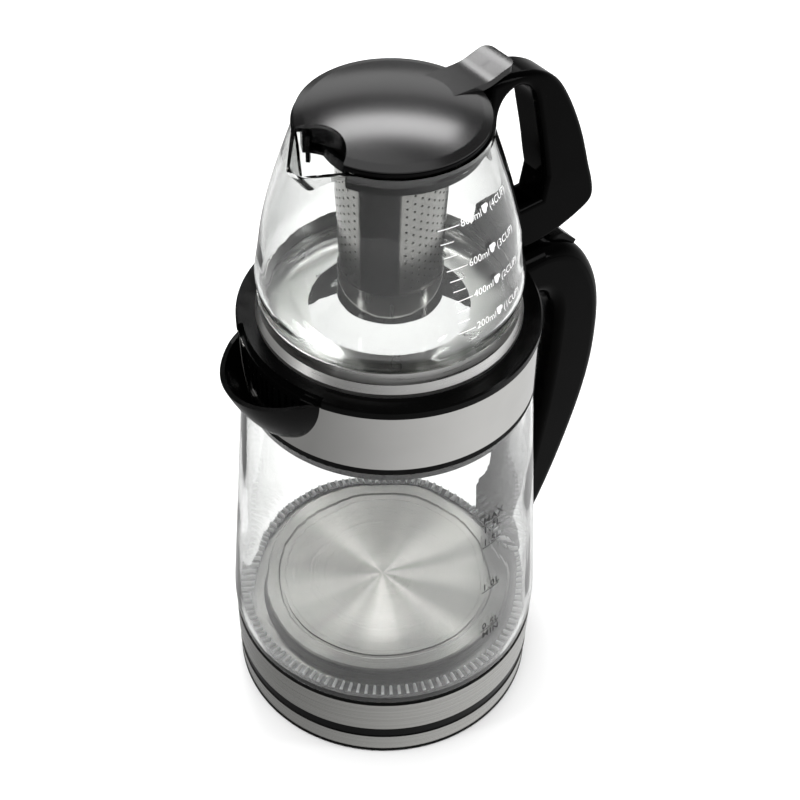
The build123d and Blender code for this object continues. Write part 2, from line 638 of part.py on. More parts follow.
def collar_frame():
    """Black inner ring of the mouth: clamps the glass, carries the handle, strains what is poured."""
    spigot_r = GLASS_TOP_R - GLASS_WALL - FIT_GAP
    in_r = spigot_r - FRAME_SPIGOT_WALL
    frame = lathe((in_r, UPPER_SEAL_Z - FRAME_SPIGOT_L), (spigot_r, UPPER_SEAL_Z - FRAME_SPIGOT_L),
                  (spigot_r, COLLAR_Z), (FRAME_R, COLLAR_Z), (FRAME_R, COLLAR_TOP), (FRAME_IN_R, COLLAR_TOP),
                  (FRAME_IN_R, COLLAR_Z + FRAME_SPIGOT_ROOT), (in_r, COLLAR_Z))
    frame -= strainer_slots()
    return frame - handle_screw_axes(SCREW_SHANK_R + FIT_GAP, in_r - OVERCUT, FRAME_R + OVERCUT)


# ---------------------------------------------------------------- kettle spout
def beak_section(z, tip_x, half_w, inset):
    """Level slice of the spout, which grows out of the round collar."""
    half = half_w - inset
    root_x = (COLLAR_R ** 2 - half_w ** 2) ** 0.5
    reach = tip_x - inset - root_x
    flank = [(-root_x - along * reach, -across * half) for along, across in SPOUT_BOW]
    bow = [(-root_x, -half), *flank, (inset - tip_x, 0), *[(x, -y) for x, y in flank[::-1]], (-root_x, half)]
    front = Spline([(x, y, z) for x, y in bow])
    back_x = SPOUT_ROOT_IN - root_x
    back = Polyline([(-root_x, half, z), (back_x, half, z), (back_x, -half, z), (-root_x, -half, z)])
    return make_face([front, *back.edges()])


def spout_scoop(inset=0.0, over=0.0):
    """Solid inside the spout's skin pulled in by inset; over lifts its top above the rim."""
    slices = []
    depth = SPOUT_DEPTH - inset
    for k in range(SPOUT_SECTIONS):
        share = k / (SPOUT_SECTIONS - 1)
        keel = SPOUT_TIP_X - (SPOUT_TIP_X - SPOUT_FOOT_X) * share + SPOUT_BELLY * sin(radians(180 * share))
        bulge = (1 - share ** 2) ** 0.5
        half = SPOUT_FOOT_HALF_W + (SPOUT_HALF_W - SPOUT_FOOT_HALF_W) * bulge
        lift = over if k == 0 else 0
        slices.append(beak_section(SPOUT_RIM_Z - depth * share + lift, keel, half, inset))
    return loft(slices)


def kettle_spout():
    """Black scoop on the collar, open at the top and, behind, through the collar's window."""
    keep_out = disc(COLLAR_R + FIT_GAP, 0, 2 * SPOUT_RIM_Z)
    brink = Pos(-COLLAR_R, 0, SPOUT_RIM_Z) * Rot(0, -SPOUT_FALL, 0)
    above = Box(SPOUT_TIP_X, 4 * SPOUT_HALF_W, SPOUT_DEPTH, align=(Align.MAX, Align.CENTER, Align.MIN))
    return spout_scoop() - spout_scoop(SPOUT_WALL, over=SPOUT_WALL) - keep_out - brink * above


# ---------------------------------------------------------------- kettle handle
def kettle_outside(gap):
    """The kettle's round outside, grown by a gap: what the handle must stay clear of."""
    ring_r = RING_R + SLIDE_GAP + gap
    return lathe((0, 0), (LOWER_RING_HIGH_R + gap, 0), (LOWER_RING_HIGH_R + gap, GLASS_Z),
                 (GLASS_BELLY_R + gap, GLASS_Z), (GLASS_BELLY_R + gap, GLASS_Z + GLASS_BELLY_Z),
                 (GLASS_STRAIGHT_R + gap, GLASS_Z + GLASS_STRAIGHT_Z), (GLASS_TOP_R + gap, UPPER_SEAL_Z),
                 (COLLAR_R + gap, COLLAR_Z), (COLLAR_R + gap, COLLAR_TOP), (ring_r, COLLAR_TOP),
                 (ring_r, 2 * RING_TOP), (0, 2 * RING_TOP))


def grip_face(depth=0.0):
    """Side view of the handle, made smaller by depth all round."""
    outer = shifted(HANDLE_OUTER, -depth)
    inner = shifted(HANDLE_INNER, depth)
    top_z = HANDLE_ROOT_TOP - depth
    low_z = HANDLE_ROOT_LOW + depth
    foot_z = HANDLE_FOOT_Z + depth
    heel = (HANDLE_FOOT_X - depth, foot_z)
    inside_x = COLLAR_R - 2 * HANDLE_SKIN
    top = Polyline(in_xz([(inside_x, low_z), (inside_x, top_z), outer[0]]))
    back = Spline(in_xz(outer))
    foot = Polyline(in_xz([outer[-1], heel, (inside_x, foot_z), (inside_x, HANDLE_MERGE_Z), inner[-1]]))
    front = Spline(in_xz(inner[::-1]))
    root = Line(in_xz([inner[0]])[0], (inside_x, 0, low_z))
    return make_face([*top.edges(), back, *foot.edges(), front, root])


def cover_slab(gap=0.0):
    """Slab that cuts the outer cover off the handle, along a line that follows the handle's back."""
    line = shifted(HANDLE_OUTER, -HANDLE_COVER_T - gap)
    far = shifted(HANDLE_OUTER, HANDLE_COVER_T)
    seam = Spline(in_xz(line))
    rest = Polyline(in_xz([line[-1], (HANDLE_FOOT_X - HANDLE_COVER_T - gap, 0), (far[-1][0], 0), far[-1]]))
    outside = Spline(in_xz(far[::-1]))
    end = Polyline(in_xz([far[0], (COLLAR_R, far[0][1]), (COLLAR_R, line[0][1]), line[0]]))
    return slab(make_face([seam, *rest.edges(), outside, *end.edges()]), HANDLE_W)


def handle_blank():
    grip = rounded_sides(slab(grip_face(), HANDLE_W / 2), HANDLE_W / 2, HANDLE_ROUND)
    return grip - kettle_outside(FIT_GAP)


def button_frame():
    """Frame on the slope of the handle's top where the release button sits, Z out of the handle."""
    return Pos(BUTTON_X, 0, BUTTON_Z) * Rot(0, BUTTON_TILT, 0)


def button_block(grow, z_low, z_high):
    box = Box(BUTTON_L + 2 * grow, BUTTON_W + 2 * grow, z_high - z_low,
              align=(Align.CENTER, Align.CENTER, Align.MIN))
    return Pos(0, 0, z_low) * box


def release_button():
    """Wedge-shaped thumb button in the top of the handle, held in by a flange under the cover."""
    flange_top = -HANDLE_COVER_T - SEAT_GAP
    half = BUTTON_L / 2
    low = flange_top - BUTTON_FLANGE_T
    side = Polyline(in_xz([(-half, low), (-half, BUTTON_LOW_END), (BUTTON_CREST - half, BUTTON_PROUD),
                           (half, BUTTON_LOW_END), (half, low)]), close=True)
    plan = fillet(button_block(0, low, 2 * BUTTON_PROUD).edges().filter_by(Axis.Z), BUTTON_ROUND)
    cap = slab(make_face(side), BUTTON_W / 2) & plan
    flange = button_block(BUTTON_FLANGE, flange_top - BUTTON_FLANGE_T, flange_top)
    return button_frame() * (cap + flange)


def button_slot():
    cut = button_block(SLIDE_GAP, -HANDLE_COVER_T - HANDLE_SKIN, 4 * BUTTON_PROUD)
    return button_frame() * fillet(cut.edges().filter_by(Axis.Z), BUTTON_ROUND)


def button_room():
    """Free space in the handle for the button's flange over its whole travel."""
    low = -HANDLE_COVER_T - BUTTON_FLANGE_T - BUTTON_TRAVEL - 4 * SEAT_GAP
    return button_frame() * button_block(BUTTON_FLANGE + SLIDE_GAP, low, -HANDLE_COVER_T)


def switch_slot():
    """Slot through the back of the handle's foot for the power lever."""
    half = SWITCH_W / 2 + SLIDE_GAP
    reach = SWITCH_T / 2 + SWITCH_ROOM
    return block(SWITCH_X - SWITCH_HEEL - 2 * SLIDE_GAP, SWITCH_X + 2 * SWITCH_REACH, half,
                 SWITCH_Z - reach, SWITCH_Z + reach)


def switch_pin(radius, length):
    return Pos(SWITCH_X, 0, SWITCH_Z) * Rot(90, 0, 0) * Cylinder(radius, length)


def power_switch():
    """Lever at the foot of the handle, with a pin moulded on each side."""
    paddle = block(SWITCH_X - SWITCH_HEEL, SWITCH_X + SWITCH_REACH, SWITCH_W / 2,
                   SWITCH_Z - SWITCH_T / 2, SWITCH_Z + SWITCH_T / 2)
    paddle = fillet(paddle.edges().filter_by(Axis.Y), SWITCH_T / 3)
    return paddle + switch_pin(SWITCH_PIN_R, SWITCH_PIN_L)


def kettle_handle():
    """Hollow grip, open along its back where the cover closes it."""
    hollow = slab(grip_face(HANDLE_SKIN), HANDLE_W / 2 - HANDLE_SKIN) - kettle_outside(HANDLE_ROOT_WALL)
    grip = handle_blank() - cover_slab(FIT_GAP) - hollow - button_room()
    grip -= switch_slot()
    grip -= switch_pin(SWITCH_PIN_R + FIT_GAP, SWITCH_PIN_L + 2 * FIT_GAP)
    return grip - handle_screw_axes(SCREW_SHANK_R + FIT_GAP, FRAME_IN_R, COLLAR_R + HANDLE_SCREW_L)


def handle_cover():
    """Outer strip of the handle, with the openings for the button and the lever."""
    return (handle_blank() & cover_slab()) - button_slot() - button_room() - switch_slot()


def handle_screws():
    x = screw_head_x()
    shanks = handle_screw_axes(SCREW_SHANK_R, x, x + HANDLE_SCREW_L)
    heads = handle_screw_axes(SCREW_HEAD_R, x - SCREW_HEAD_T, x)
    return [head + shank for head, shank in zip(heads, shanks)]


# ---------------------------------------------------------------- lid ring and teapot seat
def o_ring_z():
    return RING_Z - RING_PLUG_H / 2


def o_ring_section(grow):
    """Eight-sided section of the sealing ring, turned about Z; grow makes it the groove's cutter."""
    half = O_RING_R + grow
    flat = half * tan(radians(22.5))
    r, z = RING_PLUG_R + FIT_GAP - O_RING_R, o_ring_z()
    corners = [(half, flat), (flat, half), (-flat, half), (-half, flat)]
    ring = corners + [(-a, -b) for a, b in corners]
    return lathe(*[(r + a, z + b) for a, b in ring])


def ring_spout_cut():
    """What is taken off the ring's lip so that the spout's bowl stays open from above."""
    far = 2 * RING_R
    side = (-far, far * tan(radians(RING_SPOUT_DEG)))
    fan = make_face(Polyline([(0, 0), side, (side[0], -side[1])], close=True))
    wedge = Pos(0, 0, RING_Z - SEAT_GAP) * extrude(fan, amount=2 * RING_LIP_H, dir=(0, 0, 1))
    return wedge - disc(RING_SPOUT_R, 0, 2 * RING_TOP)


def lid_ring():
    """Black ring that closes the kettle, carries the teapot and lets steam up through its middle."""
    plug_in = RING_PLUG_R - RING_PLUG_WALL
    plug_z = RING_Z - RING_PLUG_H
    deck_z = RING_TOP - RING_DECK_T
    turn = RING_EDGE_ROUND
    rest = Polyline(in_xz([(RING_R, RING_TOP - turn), (RING_R, RING_Z), (RING_PLUG_R, RING_Z),
                           (RING_PLUG_R, plug_z), (plug_in, plug_z), (plug_in, deck_z), (RING_HOLE_R, deck_z),
                           (RING_HOLE_R, RING_TOP), (RING_R - turn, RING_TOP)]))
    edge = Line(rest @ 1, rest @ 0)
    ring = revolve(make_face([*rest.edges(), edge]), axis=Axis.Z)
    groove = o_ring_section(FIT_GAP)
    pour_gap = block(-RING_R, -RING_HOLE_R, WINDOW_HALF_W - SLIDE_GAP, plug_z - OVERCUT, RING_Z)
    return ring - groove - pour_gap - ring_spout_cut()


def ring_o_ring():
    """Silicone ring in the plug's groove; it leaves the gap at the spout free."""
    return o_ring_section(0) - block(-RING_R, 0, WINDOW_HALF_W + O_RING_R, 0, RING_Z)


def teapot_seat():
    """Polished steel dish in the ring: hem, wall round the teapot's heel, and a floor with a hole."""
    wall_z = RING_TOP + SEAT_WALL_LOW_Z
    top = RING_TOP + SEAT_WALL_H
    hem_z = RING_TOP + SEAT_HEM_H
    floor_z = RING_TOP + SEAT_FLOOR_T
    in_low = SEAT_WALL_LOW_R - SEAT_T
    in_high = SEAT_WALL_HIGH_R - SEAT_T
    return lathe((STEAM_HOLE_R, RING_TOP), (SEAT_HEM_R, RING_TOP), (SEAT_HEM_R, hem_z),
                 (SEAT_WALL_LOW_R, wall_z), (SEAT_WALL_HIGH_R, top), (in_high, top), (in_low, wall_z),
                 (in_low, floor_z), (STEAM_HOLE_R, floor_z))


# ---------------------------------------------------------------- teapot
def teapot_flank():
    """Side view of the pot above its heel: points (radius, height) from the heel up to the rim."""
    heel_top = (TEAPOT_NEST_R, TEAPOT_HEEL_R)
    nest_top = (TEAPOT_NEST_R + SEAT_GAP, SEAT_WALL_H - SEAT_FLOOR_T)
    belly = (TEAPOT_BELLY_R, TEAPOT_BELLY_Z)
    neck = (TEAPOT_NECK_R, TEAPOT_H - TEAPOT_RIM_H)
    return [(r, TEAPOT_Z + z) for r, z in (heel_top, nest_top, belly, *TEAPOT_CURVE, neck)]


def teapot_solid(inset, floor_t):
    """Pot-shaped solid: flat floor, rounded heel, curved flank and upright rim."""
    flank = shifted(teapot_flank(), inset)
    floor_z = TEAPOT_Z + floor_t
    heel = TEAPOT_HEEL_R - floor_t / 2
    rim_r = TEAPOT_NECK_R - inset
    low = (flank[0][0], floor_z + heel)
    side = Spline(in_xz([low, *flank[1:]]))
    turn = heel * (1 - cos(radians(45)))
    in_r = low[0] - heel
    corner = ThreePointArc((in_r, 0, floor_z), (low[0] - turn, 0, floor_z + turn), (low[0], 0, low[1]))
    rest = Polyline(in_xz([flank[-1], (rim_r, TEAPOT_TOP), (0, TEAPOT_TOP), (0, floor_z), (in_r, floor_z)]))
    return revolve(make_face([corner, side, *rest.edges()]), axis=Axis.Z)


def lip_solid(inset):
    """Pouring beak: level slices from the rim down to where it runs out into the flank."""
    slices = []
    for share in (0.0, 0.5, 1.0):
        tip = LIP_TIP_X - (LIP_TIP_X - LIP_FOOT_X) * share - inset
        half = LIP_HALF_W - (LIP_HALF_W - LIP_FOOT_HALF_W) * share - inset
        root = LIP_ROOT_X - inset / 2
        nose = LIP_TIP_ROUND - (LIP_TIP_ROUND - LIP_FOOT_ROUND) * share
        z = TEAPOT_TOP - LIP_DEPTH * share
        side = Line((-root, half, z), (-tip + nose / 2, nose, z))
        other = Line((-tip + nose / 2, -nose, z), (-root, -half, z))
        front = ThreePointArc(side @ 1, (-tip, 0, z), other @ 0)
        back = Line(other @ 1, side @ 0)
        slices.append(make_face([side, front, other, back]))
    return loft(slices)


def teapot_glass():
    """Borosilicate pot with a pouring beak drawn out of its rim."""
    pot = teapot_solid(0, 0) + lip_solid(0)
    pot -= teapot_solid(TEAPOT_WALL, TEAPOT_FLOOR_T) + lip_solid(TEAPOT_WALL)
    dip = Pos(-LIP_SLOPE_X, 0, TEAPOT_TOP) * Rot(0, -LIP_SLOPE, 0)
    above = Box(2 * LIP_TIP_X, 2 * LIP_TIP_X, LIP_DEPTH, align=(Align.MAX, Align.CENTER, Align.MIN))
    return pot - dip * above


def pot_outside():
    """The teapot's outside, grown by the gap that its handle keeps."""
    return teapot_solid(-FIT_GAP, 0)


def teapot_handle():
    """Handle from the neck, where its tongue hugs the glass, round to the arm at the pot's heel."""
    back = Spline(in_xz([*POT_OUTER, *POT_UNDER]))
    foot = Polyline(in_xz([POT_UNDER[-1], (RING_R, POT_FOOT_Z), (TEAPOT_NECK_R, POT_FOOT_Z),
                           (TEAPOT_NECK_R, POT_LOW_TOP), (POT_INNER[-1][0] - POT_ARM_STEP, POT_LOW_TOP),
                           POT_INNER[-1]]))
    front = Spline(in_xz(POT_INNER[::-1]))
    root = Polyline(in_xz([POT_INNER[0], (TEAPOT_NECK_R, POT_INNER[0][1]), POT_OUTER[0]]))
    side = make_face([back, *foot.edges(), front, *root.edges()])
    grip = rounded_sides(slab(side, POT_HANDLE_W / 2), POT_HANDLE_W / 2, POT_HANDLE_ROUND)
    seat_room = disc(SEAT_HEM_R + SLIDE_GAP, 0, RING_TOP + SEAT_WALL_H + SEAT_GAP)
    return grip - pot_outside() - seat_room - clip_pocket() - clip_screw_hole()


def clip_pocket():
    """Recess in the top of the lower arm, where the clip and its screw are reached."""
    return block(POCKET_X0, POCKET_X1, POCKET_HALF_W, POCKET_FLOOR, POT_LOW_TOP + OVERCUT)


def clip_screw_x():
    return POCKET_X0 + CLIP_L / 2


def clip_screw_hole():
    z = POCKET_FLOOR - SCREW_SHANK_L
    return rod(clip_screw_x(), 0, SCREW_SHANK_R + FIT_GAP, z, POCKET_FLOOR + OVERCUT)


def handle_clip():
    """Bent steel strip on the recess's floor that grips the glass at the heel."""
    half = POCKET_HALF_W - FIT_GAP
    x0 = POCKET_X0 + FIT_GAP
    strip = block(x0, x0 + CLIP_L, half, POCKET_FLOOR, POCKET_FLOOR + CLIP_T)
    strip += block(x0, x0 + CLIP_T, half, POCKET_FLOOR, POCKET_FLOOR + CLIP_UP)
    return strip - clip_screw_hole() - rod(clip_screw_x(), 0, SCREW_SHANK_R + FIT_GAP, 0, POT_LOW_TOP)


def clip_screw():
    z = POCKET_FLOOR + CLIP_T
    x = clip_screw_x()
    shank_low = POCKET_FLOOR - SCREW_SHANK_L + FIT_GAP
    return rod(x, 0, SCREW_HEAD_R, z, z + SCREW_HEAD_T) + rod(x, 0, SCREW_SHANK_R, shank_low, z)


# ---------------------------------------------------------------- infuser
def bite(radius, z_low, z_high):
    return rod(-BITE_X, 0, radius, z_low, z_high)


def infuser_rim():
    """Black collar that hangs in the pot's neck, cut away over the pouring beak down to its drum."""
    low = FLANGE_Z - INFUSER_PLUG_H
    floor_z = low + INFUSER_PLUG_WALL
    top = FLANGE_Z + INFUSER_FLANGE_T
    in_r = INFUSER_PLUG_R - INFUSER_PLUG_WALL
    drum_in = DRUM_R - INFUSER_PLUG_WALL
    outer = lathe((drum_in, low), (INFUSER_PLUG_R, low), (INFUSER_PLUG_R, FLANGE_Z),
                  (INFUSER_FLANGE_R, FLANGE_Z), (INFUSER_FLANGE_R, top), (in_r, top), (in_r, floor_z),
                  (drum_in, floor_z))
    outer -= bite(BITE_R + SLIDE_GAP, low - OVERCUT, top + OVERCUT) - disc(DRUM_R, 0, top + OVERCUT)
    drum = tube(drum_in, DRUM_R, low, LID_Z - LID_PLUG_H - SEAT_GAP)
    shelf = tube(BASKET_TOP_R + FIT_GAP, DRUM_R, low, floor_z)
    return outer + drum + shelf


def basket_z():
    """Height of the basket's lip, on the rim's inner shelf."""
    return FLANGE_Z - INFUSER_PLUG_H + INFUSER_PLUG_WALL


def infuser_basket():
    """Steel tube with rows of holes, hung by its lip in the black rim."""
    top = basket_z()
    low = top - BASKET_L
    tube_wall = lathe((BASKET_LOW_R - BASKET_WALL, low), (BASKET_LOW_R, low), (BASKET_TOP_R, top),
                      (BASKET_TOP_R + BASKET_LIP_W, top), (BASKET_TOP_R + BASKET_LIP_W, top + BASKET_WALL),
                      (BASKET_TOP_R - BASKET_WALL, top + BASKET_WALL))
    row_step = (BASKET_L - 2 * BASKET_BAND) / (BASKET_HOLE_ROWS - 1)
    hexagon = Plane.YZ * RegularPolygon(BASKET_HOLE_R, 6)
    drill = extrude(hexagon, amount=2 * BASKET_LIP_W, both=True)
    for row in range(BASKET_HOLE_ROWS):
        one = Pos(BASKET_LOW_R, 0, low + BASKET_BAND + row * row_step) * drill
        tube_wall -= around(one, BASKET_HOLES_ROUND, 180 * row / BASKET_HOLES_ROUND)
    return tube_wall


def infuser_cup():
    """Steel cup pressed over the lower end of the basket."""
    top = basket_z() - BASKET_L + BASKET_LIP_W
    low = basket_z() - BASKET_L - BASKET_CUP_L
    r = BASKET_LOW_R + BASKET_WALL + FIT_GAP
    return disc(r, low, top) - disc(r - BASKET_WALL, low + BASKET_WALL, top)


# ---------------------------------------------------------------- lid
def dome(shrink):
    """The lid's domed form above its lower edge, pulled in by shrink all over."""
    low = LID_Z - shrink
    rim_r = LID_EDGE_R - shrink * (LID_EDGE_R - LID_SHOULDER_R) / LID_SHOULDER_H
    shoulder_r = LID_SHOULDER_R - shrink
    shoulder_z = low + LID_SHOULDER_H
    rise = LID_DOME_H - LID_SHOULDER_H
    ball_r = (LID_SHOULDER_R ** 2 + rise ** 2) / (2 * rise)
    crown = Pos(0, 0, low + LID_DOME_H - ball_r) * Sphere(ball_r) & disc(shoulder_r, shoulder_z, LID_Z * 2)
    skirt = lathe((0, low), (rim_r, low), (rim_r, low + LID_EDGE_H), (shoulder_r, shoulder_z),
                  (0, shoulder_z))
    return skirt + crown


def lid_tab():
    """Thumb tab that runs out over the handle, dips and turns up at its end."""
    back = Spline(in_xz(TAB_TOP))
    under = Spline(in_xz([(x, z - TAB_T) for x, z in TAB_TOP[::-1]]))
    ends = [Line(back @ 1, under @ 0), Line(under @ 1, back @ 0)]
    tongue = slab(make_face([back, under, *ends]), TAB_HALF_W)
    plan = Pos(0, 0, LID_Z - LID_WALL) * block(0, TAB_END_X, TAB_HALF_W, 0, 4 * LID_DOME_H)
    corners = plan.edges().filter_by(Axis.Z).group_by(Axis.X)[-1]
    return tongue & fillet(corners, TAB_END_ROUND)


def lid_cover():
    """Domed top of the lid with its thumb tab, bitten out over the pouring beak."""
    shell = dome(0) + lid_tab() - dome(LID_WALL)
    return shell - bite(BITE_R, LID_Z - OVERCUT, LID_Z + 2 * LID_DOME_H)


def lid_plug():
    """Inner moulding of the lid: floor, skirt inside the infuser's rim, wall of the bite, and fin."""
    skirt_r = INFUSER_PLUG_R - INFUSER_PLUG_WALL - SLIDE_GAP
    low = LID_Z - LID_PLUG_H
    shrink = LID_WALL + FIT_GAP
    envelope = disc(skirt_r, low, LID_Z) + (dome(shrink) & disc(skirt_r, LID_Z - OVERCUT, 2 * LID_Z))
    floor_z = LID_Z - shrink
    plug = disc(skirt_r, low, LID_Z) - disc(skirt_r - LID_PLUG_WALL, low, floor_z)
    plug += envelope & bite(BITE_R + LID_PLUG_WALL, low, 2 * LID_Z)
    plug -= bite(BITE_R, low - OVERCUT, 2 * LID_Z)
    fin_x = BITE_R + FIT_GAP - FIN_DEPTH
    fin = block(fin_x, BITE_R + 2 * FIT_GAP, FIN_W / 2, low - FIN_DROP, LID_Z - LID_WALL)
    return plug + Pos(-BITE_X, 0, 0) * Rot(0, 0, FIN_DEG) * fin


# ---------------------------------------------------------------- parts
PARTS = {
    "base_bottom_plate": base_bottom_plate,
    "base_feet": base_feet,
    "base_screws": base_screws,
    "base_trim": base_trim,
    "base_shell": base_shell,
    "base_stem": base_stem,
    "stem_contacts": stem_contacts,
    "cord_gland": cord_gland,
    "kettle_socket": kettle_socket,
    "socket_contacts": socket_contacts,
    "kettle_bottom_cover": kettle_bottom_cover,
    "lower_ring": lower_ring,
    "chassis": chassis,
    "lower_seal": lower_seal,
    "kettle_glass": kettle_glass,
    "heating_plate": heating_plate,
    "light_ring": light_ring,
    "heat_spreader": heat_spreader,
    "heating_element": heating_element,
    "thermostat": thermostat,
    "bimetal_disc": bimetal_disc,
    "upper_seal": upper_seal,
    "collar": collar,
    "collar_frame": collar_frame,
    "kettle_spout": kettle_spout,
    "kettle_handle": kettle_handle,
    "handle_cover": handle_cover,
    "handle_screws": handle_screws,
    "release_button": release_button,
    "power_switch": power_switch,
    "lid_ring": lid_ring,
    "ring_o_ring": ring_o_ring,
    "teapot_seat": teapot_seat,
    "teapot_glass": teapot_glass,
    "teapot_handle": teapot_handle,
    "handle_clip": handle_clip,
    "clip_screw": clip_screw,
    "infuser_rim": infuser_rim,
    "infuser_basket": infuser_basket,
    "infuser_cup": infuser_cup,
    "lid_cover": lid_cover,
    "lid_plug": lid_plug,
}


def main():
    os.makedirs("parts", exist_ok=True)
    for name, make in PARTS.items():
        shape = make()
        solids = shape if isinstance(shape, list) else shape.solids()
        export_step(solids[0] if len(solids) == 1 else Compound(solids), f"parts/{name}.step")


if __name__ == "__main__":
    main()
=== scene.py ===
"""Looks of the glass tea maker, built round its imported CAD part.

Metres, +Z up, in the part's own frame: the kettle's axis is Z and the handles point along +X.
"""

import json
from math import cos, degrees, pi, radians, sin

import bpy
from mathutils import Matrix, Vector


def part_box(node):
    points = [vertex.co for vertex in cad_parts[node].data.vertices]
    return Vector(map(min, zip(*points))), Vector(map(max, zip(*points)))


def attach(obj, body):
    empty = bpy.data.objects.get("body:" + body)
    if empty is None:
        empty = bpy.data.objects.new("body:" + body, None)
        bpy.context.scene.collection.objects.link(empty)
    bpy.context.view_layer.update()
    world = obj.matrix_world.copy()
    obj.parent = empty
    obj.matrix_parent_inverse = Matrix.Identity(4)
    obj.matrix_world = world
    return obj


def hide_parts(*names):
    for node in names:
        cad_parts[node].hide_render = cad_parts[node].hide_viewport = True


MM = 0.001
RAY_START = 1.0               # rays that look for a CAD node's surface start this far from the Z axis

# ---------------------------------------------------------------- camera and stage
CAMERA_AT = Vector((-0.36315, -0.44845, 0.73696))
CAMERA_LOOK = Vector((0.458026, 0.553859, -0.695307))
CAMERA_UP = Vector((0.421996, 0.552950, 0.718447))
CAMERA_LENS = 75.82           # in millimetres, as is SENSOR
SENSOR = 36.0
CAMERA_NEAR = 0.01            # nothing nearer to the camera is seen
FLOOR_HALF = 3.0
# name, place, what it faces, its two sides, watts
SOFTBOXES = [("overhead", (-0.1, 0.25, 1.6), (0, 0, 0.2), (1.3, 0.9), 6),
             ("left", (-1.5, 0.35, 0.8), (0, 0, 0.2), (0.22, 1.3), 6),
             ("right", (1.1, -1.2, 0.9), (0, 0, 0.2), (0.22, 1.2), 7),
             ("back", (0.65, 0.80, 1.44), (0, 0, 0.34), (0.85, 0.28), 11),
             ("far", (1.05, 1.27, 1.0), (0, 0, 0.34), (1.6, 0.5), 4)]
SKY_EVEN = 1.15               # strength of the sky, save in glossy reflections
SKY_BRIGHT_SIDE = (0.77, -0.64, 0.0)
# strength of the sky in glossy reflections: by nearness to the bright side, times by height
SKY_SIDE = {"start": -0.6, "end": 0.7, "low": 0.42, "high": 1.2}
SKY_UP = {"start": -0.15, "end": 0.25, "low": 1.0, "high": 0.26}

# ---------------------------------------------------------------- material settings
NOISE_LOW = 0.35              # most of a noise lies between these two values
NOISE_HIGH = 0.65
GLASS_IOR = 1.47
EDGE_BLEND = 0.5              # half lets the glass's edge tint, which is partly a painted dark reflection, follow the angle evenly
WAVE_DEPTH = 2.2 * MM
WAVE_DETAIL = 0.5
WAVE_STRETCH = (1, 1, 0.5)    # waves are twice as long upwards
WAVE_WALL = 6.0               # noise's fourth coordinate per metre of radius, so the two sides differ
RING_IOR = 1.49
PAINTED_REFLECTION_FADE = 0.02              # width of the soft edge of the painted dark reflection on the seam strip, as a change of cosine

# ---------------------------------------------------------------- printed scales
INK_LIFT = 0.12 * MM          # printed ink stands this far off the glass
INK_STEP = 1.0 * MM           # printed lines bend with the glass about this often
LINE_T = 0.42 * MM
KETTLE_FONT = 5.75 * MM
KETTLE_BOLD = 0.05 * MM
KETTLE_SPACING = 1.18
KETTLE_LINE_L = 11.4 * MM
KETTLE_INDENT = 0.6 * MM      # from the line's start to the words
KETTLE_RISE = 1.1 * MM        # baseline of the words above the line
KETTLE_DROP = 5.24 * MM       # baseline of the words below the line
KETTLE_MARK_AZ = -90.0
# height of the line above the floor in mm, words above it, words below it
KETTLE_MARKS = [(151.5, "MAX", "1.7L"), (136.8, "1.5L", ""), (106.0, "1.0L", ""), (78.3, "0.5L", "MIN")]
POT_FONT = 4.715 * MM
POT_DROP = 1.312 * MM         # baseline of the words under the middle of the line
POT_SPACE = 0.7 * MM          # between the line, the number, the cup and the words
POT_CUP_W = 4.2 * MM
POT_CUP_H = 3.99 * MM
# height of the line above the pot's foot in mm, its length in mm, azimuth of its start, amount, cups
POT_MARKS = [(77.2, 10.0, -106.4, "800ml", "(4CUP)"), (59.4, 10.0, -103.6, "600ml", "(3CUP)"),
             (44.4, 8.2, -100.1, "400ml", "(2CUP)"), (28.4, 8.8, -99.6, "200ml", "(1CUP)")]
POT_TICK_L = 6.0 * MM
POT_TICKS = 2                 # between one mark and the next
# outlines of the cup, in shares of its width and height
CUP_BOWL = [(0.02, 1.0), (0.04, 0.55), (0.14, 0.22), (0.3, 0.04),
            (0.52, 0.04), (0.68, 0.22), (0.78, 0.55), (0.8, 1.0)]
CUP_EAR = [(0.78, 0.92), (0.94, 0.9), (1.0, 0.7), (0.94, 0.5), (0.76, 0.44)]

# ---------------------------------------------------------------- infuser's perforated sheet
HOLE_R = 0.6 * MM
HOLE_PITCH = 4.2 * MM         # up and down within a column
HOLE_COLUMNS = 46
CELL_POINTS = 8               # round a cell of the sheet, and round the hole in it
CELL_START_DEG = -135.0       # from a cell's middle to its lower left corner
SHEET_T = 0.5 * MM
SHEET_SHARP_DEG = 35.0        # edges that turn more than this are shaded sharp
PLAIN_TOP = 2.4 * MM          # left without holes, at least, at the upper end
PLAIN_LOW = 3.0 * MM          # and at the lower end
LIP_T = 0.6 * MM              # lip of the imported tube, left out because the infuser's rim hides it
PROBE_AZ = 15.0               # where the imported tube's radius is measured
PROBE_IN = 1.0 * MM           # and how far from its ends, where it has no holes
SAME_POINT = 1e-7             # points that round to the same multiple of this are one
SEAM_AZ = -141.0              # middle of the sheet's plain strip, at its weld
SEAM_HALF_DEG = 23.0

# ---------------------------------------------------------------- light ring's ribs
LIGHT_RING_W = 4.9 * MM       # from its outer to its inner edge
RING_STEPS = 224
RIB_COUNT = 112
RIB_HALF_W = 0.8 * MM
RIB_INSET = 0.4 * MM          # from the ring's edges to the ribs' ends
RIB_FLOOR = 1.2 * MM          # thickness of the ring under its ribs
RIB_SIDES = 6                 # flats that make up a rib's round back


